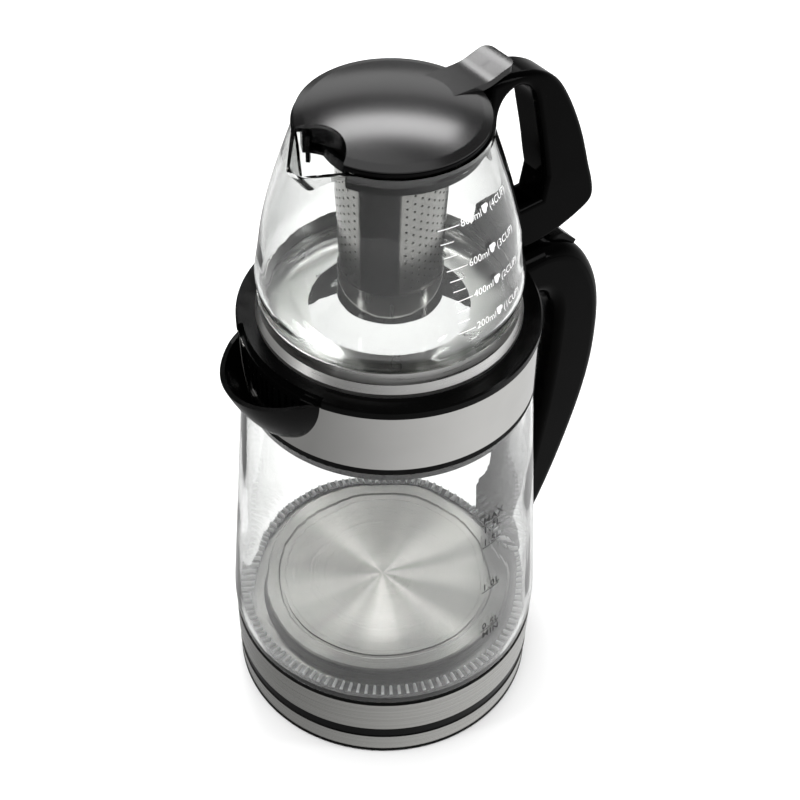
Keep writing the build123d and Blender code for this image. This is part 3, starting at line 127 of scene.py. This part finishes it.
# ---------------------------------------------------------------- node helpers
class Tree:
    """A node tree, with short calls to add and join its nodes."""

    def __init__(self, tree):
        self.tree = tree

    def node(self, kind, **settings):
        made = self.tree.nodes.new(kind)
        for name, value in settings.items():
            setattr(made, name, value)
        return made

    def link(self, source, target):
        self.tree.links.new(source, target)

    def spread(self, factor, low, high, start=NOISE_LOW, end=NOISE_HIGH):
        """A value that runs from low to high as factor runs from start to end."""
        ramp = self.node("ShaderNodeMapRange")
        ramp.inputs["From Min"].default_value = start
        ramp.inputs["From Max"].default_value = end
        ramp.inputs["To Min"].default_value = low
        ramp.inputs["To Max"].default_value = high
        self.link(factor, ramp.inputs["Value"])
        return ramp.outputs["Result"]


class Shader(Tree):
    """A new material's node tree, with short calls for what the materials below need."""

    def __init__(self, name):
        self.material = bpy.data.materials.new(name)
        self.material.use_nodes = True
        super().__init__(self.material.node_tree)
        self.bsdf = self.tree.nodes["Principled BSDF"]

    def set(self, **values):
        """Fixed values of the surface, with an underscore for each space in a socket's name."""
        for name, value in values.items():
            self.bsdf.inputs[name.replace("_", " ")].default_value = value

    def coords(self, scale=(1, 1, 1)):
        """Object coordinates, in metres, multiplied by scale."""
        place = self.node("ShaderNodeTexCoord")
        mapping = self.node("ShaderNodeMapping")
        mapping.inputs["Scale"].default_value = scale
        self.link(place.outputs["Object"], mapping.inputs["Vector"])
        return mapping.outputs["Vector"]

    def direction(self):
        """Level direction from the Z axis, of length 1."""
        made = self.node("ShaderNodeVectorMath", operation="NORMALIZE")
        self.link(self.coords((1, 1, 0)), made.inputs[0])
        return made.outputs["Vector"]

    def radius(self):
        """Distance from the Z axis, in metres."""
        length = self.node("ShaderNodeVectorMath", operation="LENGTH")
        self.link(self.coords((1, 1, 0)), length.inputs[0])
        return length.outputs["Value"]

    def noise(self, scale, vector=None, detail=3.0, roughness=0.5):
        """Noise of about scale cells per unit of the vector; without one, per metre."""
        if vector is None:
            vector = self.coords()
        made = self.node("ShaderNodeTexNoise")
        made.inputs["Scale"].default_value = scale
        made.inputs["Detail"].default_value = detail
        made.inputs["Roughness"].default_value = roughness
        self.link(vector, made.inputs["Vector"])
        return made.outputs["Fac"]

    def tint(self, factor, first, last, start=NOISE_LOW, end=NOISE_HIGH):
        """Colour that runs from first to last as factor runs from start to end."""
        ramp = self.node("ShaderNodeValToRGB")
        ramp.color_ramp.elements[0].position = start
        ramp.color_ramp.elements[1].position = end
        ramp.color_ramp.elements[0].color = (*first, 1)
        ramp.color_ramp.elements[1].color = (*last, 1)
        self.link(factor, ramp.inputs["Fac"])
        self.link(ramp.outputs["Color"], self.bsdf.inputs["Base Color"])

    def roughness(self, factor, low, high):
        self.link(self.spread(factor, low, high), self.bsdf.inputs["Roughness"])

    def bump(self, height, distance, strength):
        bump = self.node("ShaderNodeBump")
        bump.inputs["Distance"].default_value = distance
        bump.inputs["Strength"].default_value = strength
        self.link(height, bump.inputs["Height"])
        self.link(bump.outputs["Normal"], self.bsdf.inputs["Normal"])

    def turned_about_z(self, anisotropy):
        """Stretches highlights as brushing round the Z axis does."""
        tangent = self.node("ShaderNodeTangent", direction_type="RADIAL", axis="Z")
        self.bsdf.inputs["Anisotropic"].default_value = anisotropy
        self.link(tangent.outputs["Tangent"], self.bsdf.inputs["Tangent"])


def grey(level):
    return (level, level, level)


# ---------------------------------------------------------------- plastics and rubber
def black_plastic():
    """Moulded black plastic: glossy, with a slight orange peel."""
    look = Shader("black_plastic")
    look.set(Specular_IOR_Level=0.055)
    look.tint(look.noise(60), grey(0.0008), grey(0.0015))
    look.roughness(look.noise(140), 0.17, 0.24)
    look.bump(look.noise(900, detail=2), 0.02 * MM, 0.5)
    return look.material


def satin_plastic():
    """Satin dark plastic of the lid's dome, with a fine spark-eroded grain."""
    look = Shader("satin_plastic")
    look.set(Specular_IOR_Level=0.36)
    look.tint(look.noise(45), grey(0.002), grey(0.003))
    look.roughness(look.noise(30, detail=1), 0.19, 0.205)
    look.bump(look.noise(2600, detail=2), 0.004 * MM, 0.2)
    return look.material


def soft_plastic():
    """Deep black plastic of the handles: smooth, with only weak reflections."""
    look = Shader("soft_plastic")
    look.set(Specular_IOR_Level=0.02)
    look.tint(look.noise(50), grey(0.0002), grey(0.0005))
    look.roughness(look.noise(60), 0.09, 0.12)
    look.bump(look.noise(2200, detail=2), 0.005 * MM, 0.3)
    return look.material


def rubber():
    """Black silicone of the seals and feet, with a dull, slightly grainy skin."""
    look = Shader("silicone_rubber")
    look.set(Specular_IOR_Level=0.08)
    look.tint(look.noise(80), grey(0.001), grey(0.0022))
    look.roughness(look.noise(260), 0.55, 0.7)
    look.bump(look.noise(1500), 0.03 * MM, 0.5)
    return look.material


# ---------------------------------------------------------------- metals
def brushed_band():
    """Steel band brushed round its circumference."""
    look = Shader("brushed_band")
    look.set(Metallic=1.0)
    lines = look.noise(1.0, look.coords((6, 6, 5200)), 4, 0.6)
    look.tint(look.noise(1.0, look.coords((2, 2, 900))), (0.36, 0.357, 0.342), (0.44, 0.437, 0.42))
    look.roughness(lines, 0.22, 0.34)
    look.turned_about_z(0.55)
    look.bump(lines, 0.01 * MM, 0.35)
    return look.material


def polished_steel():
    """Mirror-polished steel with faint drawing lines and haze."""
    look = Shader("polished_steel")
    look.set(Metallic=1.0)
    look.tint(look.noise(18), (0.51, 0.507, 0.492), (0.56, 0.556, 0.542))
    look.roughness(look.noise(1.0, look.coords((40, 40, 700))), 0.045, 0.1)
    look.bump(look.noise(1.0, look.coords((5, 5, 1600))), 0.004 * MM, 0.3)
    return look.material


def satin_steel():
    """Bright satin steel of the dish under the teapot."""
    look = Shader("satin_steel")
    look.set(Metallic=1.0)
    look.tint(look.noise(30), (0.6, 0.597, 0.585), (0.68, 0.677, 0.665))
    look.roughness(look.noise(1.0, look.coords((40, 40, 700))), 0.26, 0.36)
    look.bump(look.noise(1.0, look.coords((5, 5, 1600))), 0.004 * MM, 0.3)
    return look.material


def turned_plate_painted_highlights():
    """Steel disc brushed in circles about its centre; its steel is painted lighter and darker by direction
    from the centre, as painted highlights and painted shade for its fan-shaped reflections.
    """
    look = Shader("turned_plate_painted_highlights")
    look.set(Metallic=1.0)
    rings = look.noise(5000, look.radius(), 3, 0.6)
    painted_highlight_fans = look.noise(1.8, look.direction(), 1.5)
    # painted highlights and shade: lighter and darker sectors by direction from the centre
    look.tint(painted_highlight_fans, (0.115, 0.114, 0.108), (0.19, 0.189, 0.179), 0.4, 0.6)
    look.roughness(rings, 0.26, 0.36)
    look.turned_about_z(0.82)
    look.bump(rings, 0.01 * MM, 0.3)
    return look.material


def sieve_steel_painted_reflection():
    """Satin steel of the infuser's sheet, painted near black along the plain strip at its weld as a
    painted dark reflection.
    """
    look = Shader("sieve_steel_painted_reflection")
    look.set(Metallic=1.0)
    towards = look.node("ShaderNodeVectorMath", operation="DOT_PRODUCT")
    towards.inputs[1].default_value = (cos(radians(SEAM_AZ)), sin(radians(SEAM_AZ)), 0)
    look.link(look.direction(), towards.inputs[0])
    edge = cos(radians(SEAM_HALF_DEG))
    # painted dark reflection: the plain strip at the weld is painted near black
    look.tint(towards.outputs["Value"], (0.3, 0.298, 0.287), grey(0.022), edge, edge + PAINTED_REFLECTION_FADE)
    look.roughness(look.noise(900, look.coords((1, 1, 0.1))), 0.22, 0.27)
    return look.material


def sieve_inside_painted_shade():
    """Inner face of the infuser's sheet: duller, and painted dark as painted shade inside the tube, so its
    holes look dark.
    """
    look = Shader("sieve_inside_painted_shade")
    look.set(Metallic=1.0)
    # painted shade: the inner face's steel is painted dark
    look.tint(look.noise(120), grey(0.04), grey(0.07))
    look.roughness(look.noise(400), 0.35, 0.5)
    return look.material


def plated_steel():
    """Plated steel of the screws, the teapot handle's clip and the small heating parts."""
    look = Shader("plated_steel")
    look.set(Metallic=1.0)
    look.tint(look.noise(150), (0.58, 0.58, 0.57), (0.68, 0.68, 0.67))
    look.roughness(look.noise(500), 0.14, 0.26)
    look.bump(look.noise(1800), 0.01 * MM, 0.3)
    return look.material


def cast_aluminium():
    """Dull cast aluminium of the heat spreader."""
    look = Shader("cast_aluminium")
    look.set(Metallic=1.0)
    look.tint(look.noise(120), (0.6, 0.6, 0.61), (0.72, 0.72, 0.73))
    look.roughness(look.noise(350), 0.4, 0.58)
    look.bump(look.noise(900), 0.04 * MM, 0.5)
    return look.material


def brass():
    """Brass of the electrical contacts."""
    look = Shader("brass_contacts")
    look.set(Metallic=1.0)
    look.tint(look.noise(200), (0.58, 0.43, 0.19), (0.72, 0.56, 0.28))
    look.roughness(look.noise(500), 0.18, 0.32)
    return look.material


# ---------------------------------------------------------------- glass, inks and paper
def clear_glass(name, tone, edge_tint_and_painted_reflection, edge_start, wave, wave_strength):
    """Blown borosilicate glass: clear, greyer where seen edge-on, partly for its thicker path and partly
    as a painted dark reflection, and wavy on both its sides.
    """
    look = Shader(name)
    look.set(Transmission_Weight=1.0, IOR=GLASS_IOR)
    facing = look.node("ShaderNodeLayerWeight")
    facing.inputs["Blend"].default_value = EDGE_BLEND
    # partly painted reflection: the tint darkens towards the edges
    look.tint(facing.outputs["Facing"], tone, edge_tint_and_painted_reflection, edge_start, 1.0)
    look.roughness(look.noise(25), 0.0, 0.012)
    waves = look.node("ShaderNodeTexNoise", noise_dimensions="4D")
    waves.inputs["Scale"].default_value = wave
    waves.inputs["Detail"].default_value = WAVE_DETAIL
    look.link(look.coords(WAVE_STRETCH), waves.inputs["Vector"])
    wall = look.node("ShaderNodeMath", operation="MULTIPLY")
    wall.inputs[1].default_value = WAVE_WALL
    look.link(look.radius(), wall.inputs[0])
    look.link(wall.outputs["Value"], waves.inputs["W"])
    look.bump(waves.outputs["Fac"], WAVE_DEPTH, wave_strength)
    return look.material


def light_guide():
    """Frosted plastic of the light ring, dark grey as no lamp shines in it."""
    look = Shader("light_guide")
    look.set(Base_Color=(0.05, 0.052, 0.052, 1), Transmission_Weight=0.1, IOR=RING_IOR)
    look.roughness(look.noise(300), 0.16, 0.3)
    look.bump(look.noise(1200), 0.02 * MM, 0.4)
    return look.material


def light_ribs_painted_highlight():
    """White of the light ring's ribs, slightly uneven from rib to rib: a painted highlight for the light
    that the ribs catch.
    """
    look = Shader("light_ribs_painted_highlight")
    look.set(Specular_IOR_Level=0.6)
    # painted highlight: the ribs are painted near white
    look.tint(look.noise(160), (0.88, 0.89, 0.89), (0.97, 0.98, 0.98))
    look.roughness(look.noise(500), 0.1, 0.25)
    return look.material


def ink(name, dark, light):
    """Matt printing ink, its tone between dark and light."""
    look = Shader(name)
    look.set(Specular_IOR_Level=0.3)
    look.tint(look.noise(900), dark, light)
    look.roughness(look.noise(1500), 0.45, 0.6)
    return look.material


def floor_paper():
    """Matt white paper that the object stands on."""
    look = Shader("floor_paper")
    look.set(Specular_IOR_Level=0.1)
    look.tint(look.noise(3), grey(0.93), grey(0.95))
    look.roughness(look.noise(40), 0.85, 0.95)
    return look.material


# ---------------------------------------------------------------- mesh helpers
def add_piece(name, verts, faces, material, body, slot, smooth=False):
    """A mesh made from points and faces, with its material and body; slot, its finish, is not used."""
    mesh = bpy.data.meshes.new(name)
    mesh.from_pydata([tuple(v) for v in verts], [], faces)
    mesh.validate()
    mesh.update()
    piece = bpy.data.objects.new(name, mesh)
    bpy.context.scene.collection.objects.link(piece)
    mesh.materials.append(material)
    mesh.polygons.foreach_set("use_smooth", [smooth] * len(mesh.polygons))
    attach(piece, body)
    return piece


def surface_point(host, azimuth, z, lift=0.0):
    """Point on a CAD node's outside, or lifted off it, at an azimuth and a height z."""
    out = Vector((cos(radians(azimuth)), sin(radians(azimuth)), 0))
    hit, place, _, _ = host.ray_cast(out * RAY_START + Vector((0, 0, z)), -out)
    if not hit:
        raise RuntimeError(f"nothing of {host.name} at azimuth {azimuth} and height {z}")
    return place + out * lift


def radius_at(host, azimuth, z):
    return surface_point(host, azimuth, z).xy.length


# ---------------------------------------------------------------- printed scales
class Print:
    """Flat ink shapes wrapped onto a glass: u runs along the surface from azimuth, v runs up from z."""

    def __init__(self, host, azimuth, z):
        self.host = host
        self.azimuth = azimuth
        self.z = z
        self.radius = radius_at(host, azimuth, z)
        self.verts = []
        self.faces = []

    def place(self, u, v):
        azimuth = self.azimuth + degrees(u / self.radius)
        self.verts.append(surface_point(self.host, azimuth, self.z + v, INK_LIFT))
        return len(self.verts) - 1

    def line(self, length):
        """Level line that starts where the print does."""
        steps = max(2, round(length / INK_STEP))
        along = [length * k / steps for k in range(steps + 1)]
        lower, upper = [[self.place(u, side * LINE_T / 2) for u in along] for side in (-1, 1)]
        for k in range(steps):
            self.faces.append((lower[k], lower[k + 1], upper[k + 1], upper[k]))

    def polygon(self, outline):
        self.faces.append([self.place(u, v) for u, v in outline])

    def text(self, words, size, u, v, bolder=0.0, spacing=1.0):
        """Words in the built-in face from u on, their strokes widened by bolder; returns their end."""
        curve = bpy.data.curves.new("words", "FONT")
        curve.body = words
        curve.size = size
        curve.resolution_u = 3
        curve.offset = bolder
        curve.space_character = spacing
        made = bpy.data.objects.new("words", curve)
        bpy.context.scene.collection.objects.link(made)
        mesh = made.to_mesh()
        start = len(self.verts)
        for point in mesh.vertices:
            self.place(u + point.co.x, v + point.co.y)
        self.faces += [[start + k for k in face.vertices] for face in mesh.polygons]
        width = max(point.co.x for point in mesh.vertices)
        made.to_mesh_clear()
        bpy.data.objects.remove(made)
        bpy.data.curves.remove(curve)
        return u + width

    def cup(self, u, v):
        """Small cup from u on: a bowl that narrows towards its foot, with an ear; returns its end."""
        for outline in (CUP_BOWL, CUP_EAR):
            self.polygon([(u + a * POT_CUP_W, v + b * POT_CUP_H) for a, b in outline[::-1]])
        return u + POT_CUP_W

    def finish(self, name, material, body):
        return add_piece(name, self.verts, self.faces, material, body, "clear_glass")


def kettle_scale(host, material):
    """Litre marks on the kettle: a line with words above it and, on two of them, below it."""
    for level, above, below in KETTLE_MARKS:
        mark = Print(host, KETTLE_MARK_AZ, level * MM)
        mark.line(KETTLE_LINE_L)
        for words, v in ((above, KETTLE_RISE), (below, -KETTLE_DROP)):
            if words:
                mark.text(words, KETTLE_FONT, KETTLE_INDENT, v, KETTLE_BOLD, KETTLE_SPACING)
        mark.finish(f"kettle_scale_{above}", material, "kettle")


def pot_ticks(host, material, foot, mark, below):
    """Short ticks that divide the way from one of the teapot's marks down to the next."""
    for count in range(1, POT_TICKS + 1):
        share = count / (POT_TICKS + 1)
        height = mark[0] + (below[0] - mark[0]) * share
        tick = Print(host, mark[2] + (below[2] - mark[2]) * share, foot + height * MM)
        tick.line(POT_TICK_L)
        tick.finish(f"teapot_tick_{round(height)}", material, "teapot")


def pot_scale(host, material):
    """Millilitre marks on the teapot: a line, an amount, a cup and how many cups that is."""
    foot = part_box("teapot_glass")[0][2]
    for entry, below in zip(POT_MARKS, POT_MARKS[1:] + [None]):
        height, length, azimuth, amount, cups = entry
        mark = Print(host, azimuth, foot + height * MM)
        mark.line(length * MM)
        end = mark.text(amount, POT_FONT, length * MM + POT_SPACE, -POT_DROP)
        end = mark.cup(end + POT_SPACE, -POT_DROP)
        mark.text(cups, POT_FONT, end + POT_SPACE, -POT_DROP)
        mark.finish(f"teapot_scale_{amount}", material, "teapot")
        if below:
            pot_ticks(host, material, foot, entry, below)


# ---------------------------------------------------------------- infuser's perforated sheet
class Tube:
    """Mesh of a conical sheet-metal tube, laid out in columns of cells that a hole may pierce."""

    def __init__(self, low, high, r_low, r_high):
        self.low = low
        self.high = high
        self.r_low = r_low
        self.r_high = r_high
        self.verts = []
        self.faces = []
        self.inner_faces = []
        self.numbers = {}

    def point(self, column, z, inward, u=0.0):
        """Number of the point at height z, u along the sheet from where the column starts."""
        z = min(max(z, self.low), self.high)
        share = (z - self.low) / (self.high - self.low)
        r = self.r_low + (self.r_high - self.r_low) * share - (SHEET_T if inward else 0)
        angle = 2 * pi * column / HOLE_COLUMNS + u / r
        place = (r * cos(angle), r * sin(angle), z)
        key = tuple(round(value / SAME_POINT) for value in place)
        if key not in self.numbers:
            self.numbers[key] = len(self.verts)
            self.verts.append(place)
        return self.numbers[key]

    def cell(self, column, z0, z1, inward):
        """The eight points round a cell, from its lower left corner on."""
        mid = (z0 + z1) / 2
        edge = ((0, z0), (0.5, z0), (1, z0), (1, mid), (1, z1), (0.5, z1), (0, z1), (0, mid))
        return [self.point(column + across, z, inward) for across, z in edge]

    def hole(self, column, mid, inward):
        """The eight points round a cell's hole, each facing one of the cell's."""
        turns = [radians(CELL_START_DEG + 360 * k / CELL_POINTS) for k in range(CELL_POINTS)]
        return [self.point(column + 0.5, mid + HOLE_R * sin(turn), inward, HOLE_R * cos(turn))
                for turn in turns]

    def add(self, corners, inward):
        """One face; those of the inner side are turned round and noted."""
        if inward:
            self.inner_faces.append(len(self.faces))
        self.faces.append(corners[::-1] if inward else corners)

    def band(self, ring, hole, inward):
        """Faces between two rings of points."""
        for a in range(CELL_POINTS):
            b = (a + 1) % CELL_POINTS
            self.add((ring[a], ring[b], hole[b], hole[a]), inward)

    def column(self, number, levels, pierced):
        """Both sides of a column of cells, with a hole in each but the first and last if pierced."""
        outer_holes = {}
        for inward in (False, True):
            for k, (z0, z1) in enumerate(zip(levels, levels[1:])):
                ring = self.cell(number, z0, z1, inward)
                if k in (0, len(levels) - 2) or not pierced:
                    self.add(ring, inward)
                    continue
                hole = self.hole(number, (z0 + z1) / 2, inward)
                self.band(ring, hole, inward)
                if inward:
                    self.band(hole, outer_holes[k], inward)
                else:
                    outer_holes[k] = hole

    def rims(self):
        """The sheet's own thickness at both ends."""
        for z in (self.low, self.high):
            for k in range(2 * HOLE_COLUMNS):
                a, b = k / 2, k / 2 + 0.5
                outer = (self.point(a, z, False), self.point(b, z, False))
                rim = outer + (self.point(b, z, True), self.point(a, z, True))
                self.faces.append(rim[::-1] if z == self.low else rim)


def perforated_sheet(host, material, painted_shade_inside):
    """The infuser's tube: steel sheet with staggered round holes and a plain strip at its seam."""
    low_corner, high_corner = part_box("infuser_basket")
    low, high = low_corner[2], high_corner[2] - LIP_T
    r_low = radius_at(host, PROBE_AZ, low + PROBE_IN)
    r_high = radius_at(host, PROBE_AZ, high - PROBE_IN)
    rows = int((high - low - PLAIN_TOP - PLAIN_LOW) / HOLE_PITCH)
    tube = Tube(low, high, r_low, r_high)
    for column in range(HOLE_COLUMNS):
        middle = 360 * (column + 0.5) / HOLE_COLUMNS
        off_seam = abs((middle - SEAM_AZ + 180) % 360 - 180)
        first = low + PLAIN_LOW + (HOLE_PITCH / 2 if column % 2 else 0.0)
        levels = [low] + [first + row * HOLE_PITCH for row in range(rows)] + [high]
        tube.column(column, levels, off_seam > SEAM_HALF_DEG)
    tube.rims()
    piece = add_piece("infuser_sheet", tube.verts, tube.faces, material, "infuser", "brushed_steel",
                      smooth=True)
    piece.data.set_sharp_from_angle(angle=radians(SHEET_SHARP_DEG))
    # the inner faces take the material with painted shade
    piece.data.materials.append(painted_shade_inside)
    for number in tube.inner_faces:
        piece.data.polygons[number].material_index = 1
    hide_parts("infuser_basket")


# ---------------------------------------------------------------- light ring
def flat_ring(in_r, out_r, low, high):
    """Points and faces of a ring with square edges, round the Z axis."""
    corners = [(in_r, low), (out_r, low), (out_r, high), (in_r, high)]
    turns = [2 * pi * k / RING_STEPS for k in range(RING_STEPS)]
    verts = [(r * cos(turn), r * sin(turn), z) for turn in turns for r, z in corners]
    faces = []
    for k in range(RING_STEPS):
        here, there = 4 * k, 4 * ((k + 1) % RING_STEPS)
        faces += [(here + a, there + a, there + (a + 1) % 4, here + (a + 1) % 4) for a in range(4)]
    return verts, faces


def radial_ribs(in_r, out_r, foot, height):
    """Points and faces of half-round ribs that point away from the Z axis."""
    verts, faces = [], []
    for k in range(RIB_COUNT):
        turn = 2 * pi * k / RIB_COUNT
        start = len(verts)
        for r in (in_r, out_r):
            for side in range(RIB_SIDES + 1):
                angle = pi * side / RIB_SIDES
                across = RIB_HALF_W * cos(angle)
                x, y = r * cos(turn) - across * sin(turn), r * sin(turn) + across * cos(turn)
                verts.append((x, y, foot + height * sin(angle)))
        near = list(range(start, start + RIB_SIDES + 1))
        far = [number + RIB_SIDES + 1 for number in near]
        faces += [near, far[::-1]]
        faces += [(near[j], far[j], far[j + 1], near[j + 1]) for j in range(RIB_SIDES)]
        faces.append((near[0], near[-1], far[-1], far[0]))
    return verts, faces


def ribbed_light_ring(materials):
    """The ring round the heating plate: a flat ring and the ribs that stand on it, painted white as a
    painted highlight.
    """
    low_corner, high_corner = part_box("light_ring")
    low, high, out_r = low_corner[2], high_corner[2], high_corner[0]
    in_r = out_r - LIGHT_RING_W
    top = low + RIB_FLOOR
    floor = add_piece("light_ring_floor", *flat_ring(in_r, out_r, low, top), materials["light_guide"],
                      "kettle", "light_guide")
    ribs = add_piece("light_ring_ribs", *radial_ribs(in_r + RIB_INSET, out_r - RIB_INSET, top, high - top),
                     materials["light_ribs_painted_highlight"], "kettle", "light_guide")
    for piece in (floor, ribs):
        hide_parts("light_ring")


# ---------------------------------------------------------------- stage
def add_floor():
    corners = [(x * FLOOR_HALF, y * FLOOR_HALF, 0) for x, y in ((-1, -1), (1, -1), (1, 1), (-1, 1))]
    mesh = bpy.data.meshes.new("floor")
    mesh.from_pydata(corners, [], [(0, 1, 2, 3)])
    floor = bpy.data.objects.new("floor", mesh)
    bpy.context.scene.collection.objects.link(floor)
    mesh.materials.append(floor_paper())
    floor.visible_glossy = False


def softbox(name, at, aim, size, power):
    """Oblong area lamp that faces its aim."""
    lamp = bpy.data.lights.new(name, "AREA")
    lamp.shape = "RECTANGLE"
    lamp.size, lamp.size_y = size
    lamp.energy = power
    holder = bpy.data.objects.new(name, lamp)
    holder.location = at
    holder.rotation_euler = (Vector(aim) - Vector(at)).to_track_quat("-Z", "Y").to_euler()
    bpy.context.scene.collection.objects.link(holder)


def studio_world():
    """Even pale light for dull surfaces; glossy ones reflect a room that brightens to one side."""
    world = bpy.data.worlds.new("studio")
    world.use_nodes = True
    sky = Tree(world.node_tree)
    even = sky.tree.nodes["Background"]
    even.inputs["Color"].default_value = (1, 1, 1, 1)
    even.inputs["Strength"].default_value = SKY_EVEN
    place = sky.node("ShaderNodeTexCoord")
    side = sky.node("ShaderNodeVectorMath", operation="DOT_PRODUCT")
    side.inputs[1].default_value = SKY_BRIGHT_SIDE
    sky.link(place.outputs["Generated"], side.inputs[0])
    up = sky.node("ShaderNodeSeparateXYZ")
    sky.link(place.outputs["Generated"], up.inputs["Vector"])
    level = sky.node("ShaderNodeMath", operation="MULTIPLY")
    sky.link(sky.spread(side.outputs["Value"], **SKY_SIDE), level.inputs[0])
    sky.link(sky.spread(up.outputs["Z"], **SKY_UP), level.inputs[1])
    uneven = sky.node("ShaderNodeBackground")
    sky.link(level.outputs["Value"], uneven.inputs["Strength"])
    path = sky.node("ShaderNodeLightPath")
    mix = sky.node("ShaderNodeMixShader")
    sky.link(path.outputs["Is Glossy Ray"], mix.inputs["Fac"])
    sky.link(even.outputs["Background"], mix.inputs[1])
    sky.link(uneven.outputs["Background"], mix.inputs[2])
    sky.link(mix.outputs["Shader"], sky.tree.nodes["World Output"].inputs["Surface"])
    bpy.context.scene.world = world


def add_camera():
    data = bpy.data.cameras.new("camera")
    data.lens = CAMERA_LENS
    data.sensor_width = SENSOR
    data.clip_start = CAMERA_NEAR
    camera = bpy.data.objects.new("camera", data)
    bpy.context.scene.collection.objects.link(camera)
    right = CAMERA_LOOK.cross(CAMERA_UP).normalized()
    turn = Matrix((right, CAMERA_UP.normalized(), -CAMERA_LOOK.normalized())).transposed()
    camera.matrix_world = Matrix.Translation(CAMERA_AT) @ turn.to_4x4()
    bpy.context.scene.camera = camera


# ---------------------------------------------------------------- materials on the CAD nodes
# nodes that look different from others with the same slot
OWN_MATERIAL = {
    "heating_plate": "turned_plate_painted_highlights",
    "kettle_handle": "soft_plastic",
    "handle_cover": "soft_plastic",
    "teapot_handle": "soft_plastic",
    "teapot_glass": "teapot_glass",
    "infuser_cup": "polished_steel",
    "teapot_seat": "satin_steel",
}


def make_materials():
    """Every material of the object, under its slot's name where it has one."""
    return {
        "black_plastic": black_plastic(),
        "lid_plastic": satin_plastic(),
        "soft_plastic": soft_plastic(),
        "brushed_steel": brushed_band(),
        "polished_steel": polished_steel(),
        "satin_steel": satin_steel(),
        "turned_plate_painted_highlights": turned_plate_painted_highlights(),
        "screw_steel": plated_steel(),
        "aluminium": cast_aluminium(),
        "brass": brass(),
        "black_rubber": rubber(),
        # each glass: its tint, then its edge tint, which is partly a painted dark reflection
        "clear_glass": clear_glass("kettle_glass", (0.94, 0.945, 0.94), (0.55, 0.56, 0.55),
                                   edge_start=0.4, wave=26, wave_strength=0.5),
        "teapot_glass": clear_glass("teapot_glass", (0.88, 0.885, 0.88), (0.34, 0.35, 0.34),
                                    edge_start=0.1, wave=20, wave_strength=0.25),
        "light_guide": light_guide(),
        "light_ribs_painted_highlight": light_ribs_painted_highlight(),
        "sieve_steel_painted_reflection": sieve_steel_painted_reflection(),
        "sieve_inside_painted_shade": sieve_inside_painted_shade(),
        "black_ink": ink("black_ink", grey(0.01), grey(0.02)),
        "white_ink": ink("white_ink", grey(0.85), grey(0.93)),
    }


def dress(frame, materials):
    """Gives each CAD node its own material, or else its slot's."""
    for entry in frame["record"]["subparts"]:
        name = entry["node"]
        chosen = materials[OWN_MATERIAL.get(name, entry["material_slot"])]
        for slot in frame["nodes"][name].material_slots:
            slot.material = chosen


# ---------------------------------------------------------------- scene
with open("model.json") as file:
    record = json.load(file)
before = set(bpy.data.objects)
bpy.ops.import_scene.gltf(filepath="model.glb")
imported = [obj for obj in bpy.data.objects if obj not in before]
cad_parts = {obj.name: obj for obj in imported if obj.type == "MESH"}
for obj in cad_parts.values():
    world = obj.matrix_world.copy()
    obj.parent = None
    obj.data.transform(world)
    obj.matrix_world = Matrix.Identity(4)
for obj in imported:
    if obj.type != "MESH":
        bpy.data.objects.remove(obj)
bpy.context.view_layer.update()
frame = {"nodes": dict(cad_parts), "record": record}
nodes = frame["nodes"]
materials = make_materials()
dress(frame, materials)
kettle_scale(nodes["kettle_glass"], materials["black_ink"])
pot_scale(nodes["teapot_glass"], materials["white_ink"])
perforated_sheet(nodes["infuser_basket"], materials["sieve_steel_painted_reflection"], materials["sieve_inside_painted_shade"])
ribbed_light_ring(materials)
add_floor()
for lamp in SOFTBOXES:
    softbox(*lamp)
studio_world()
add_camera()
bpy.context.scene.view_settings.view_transform = "Standard"
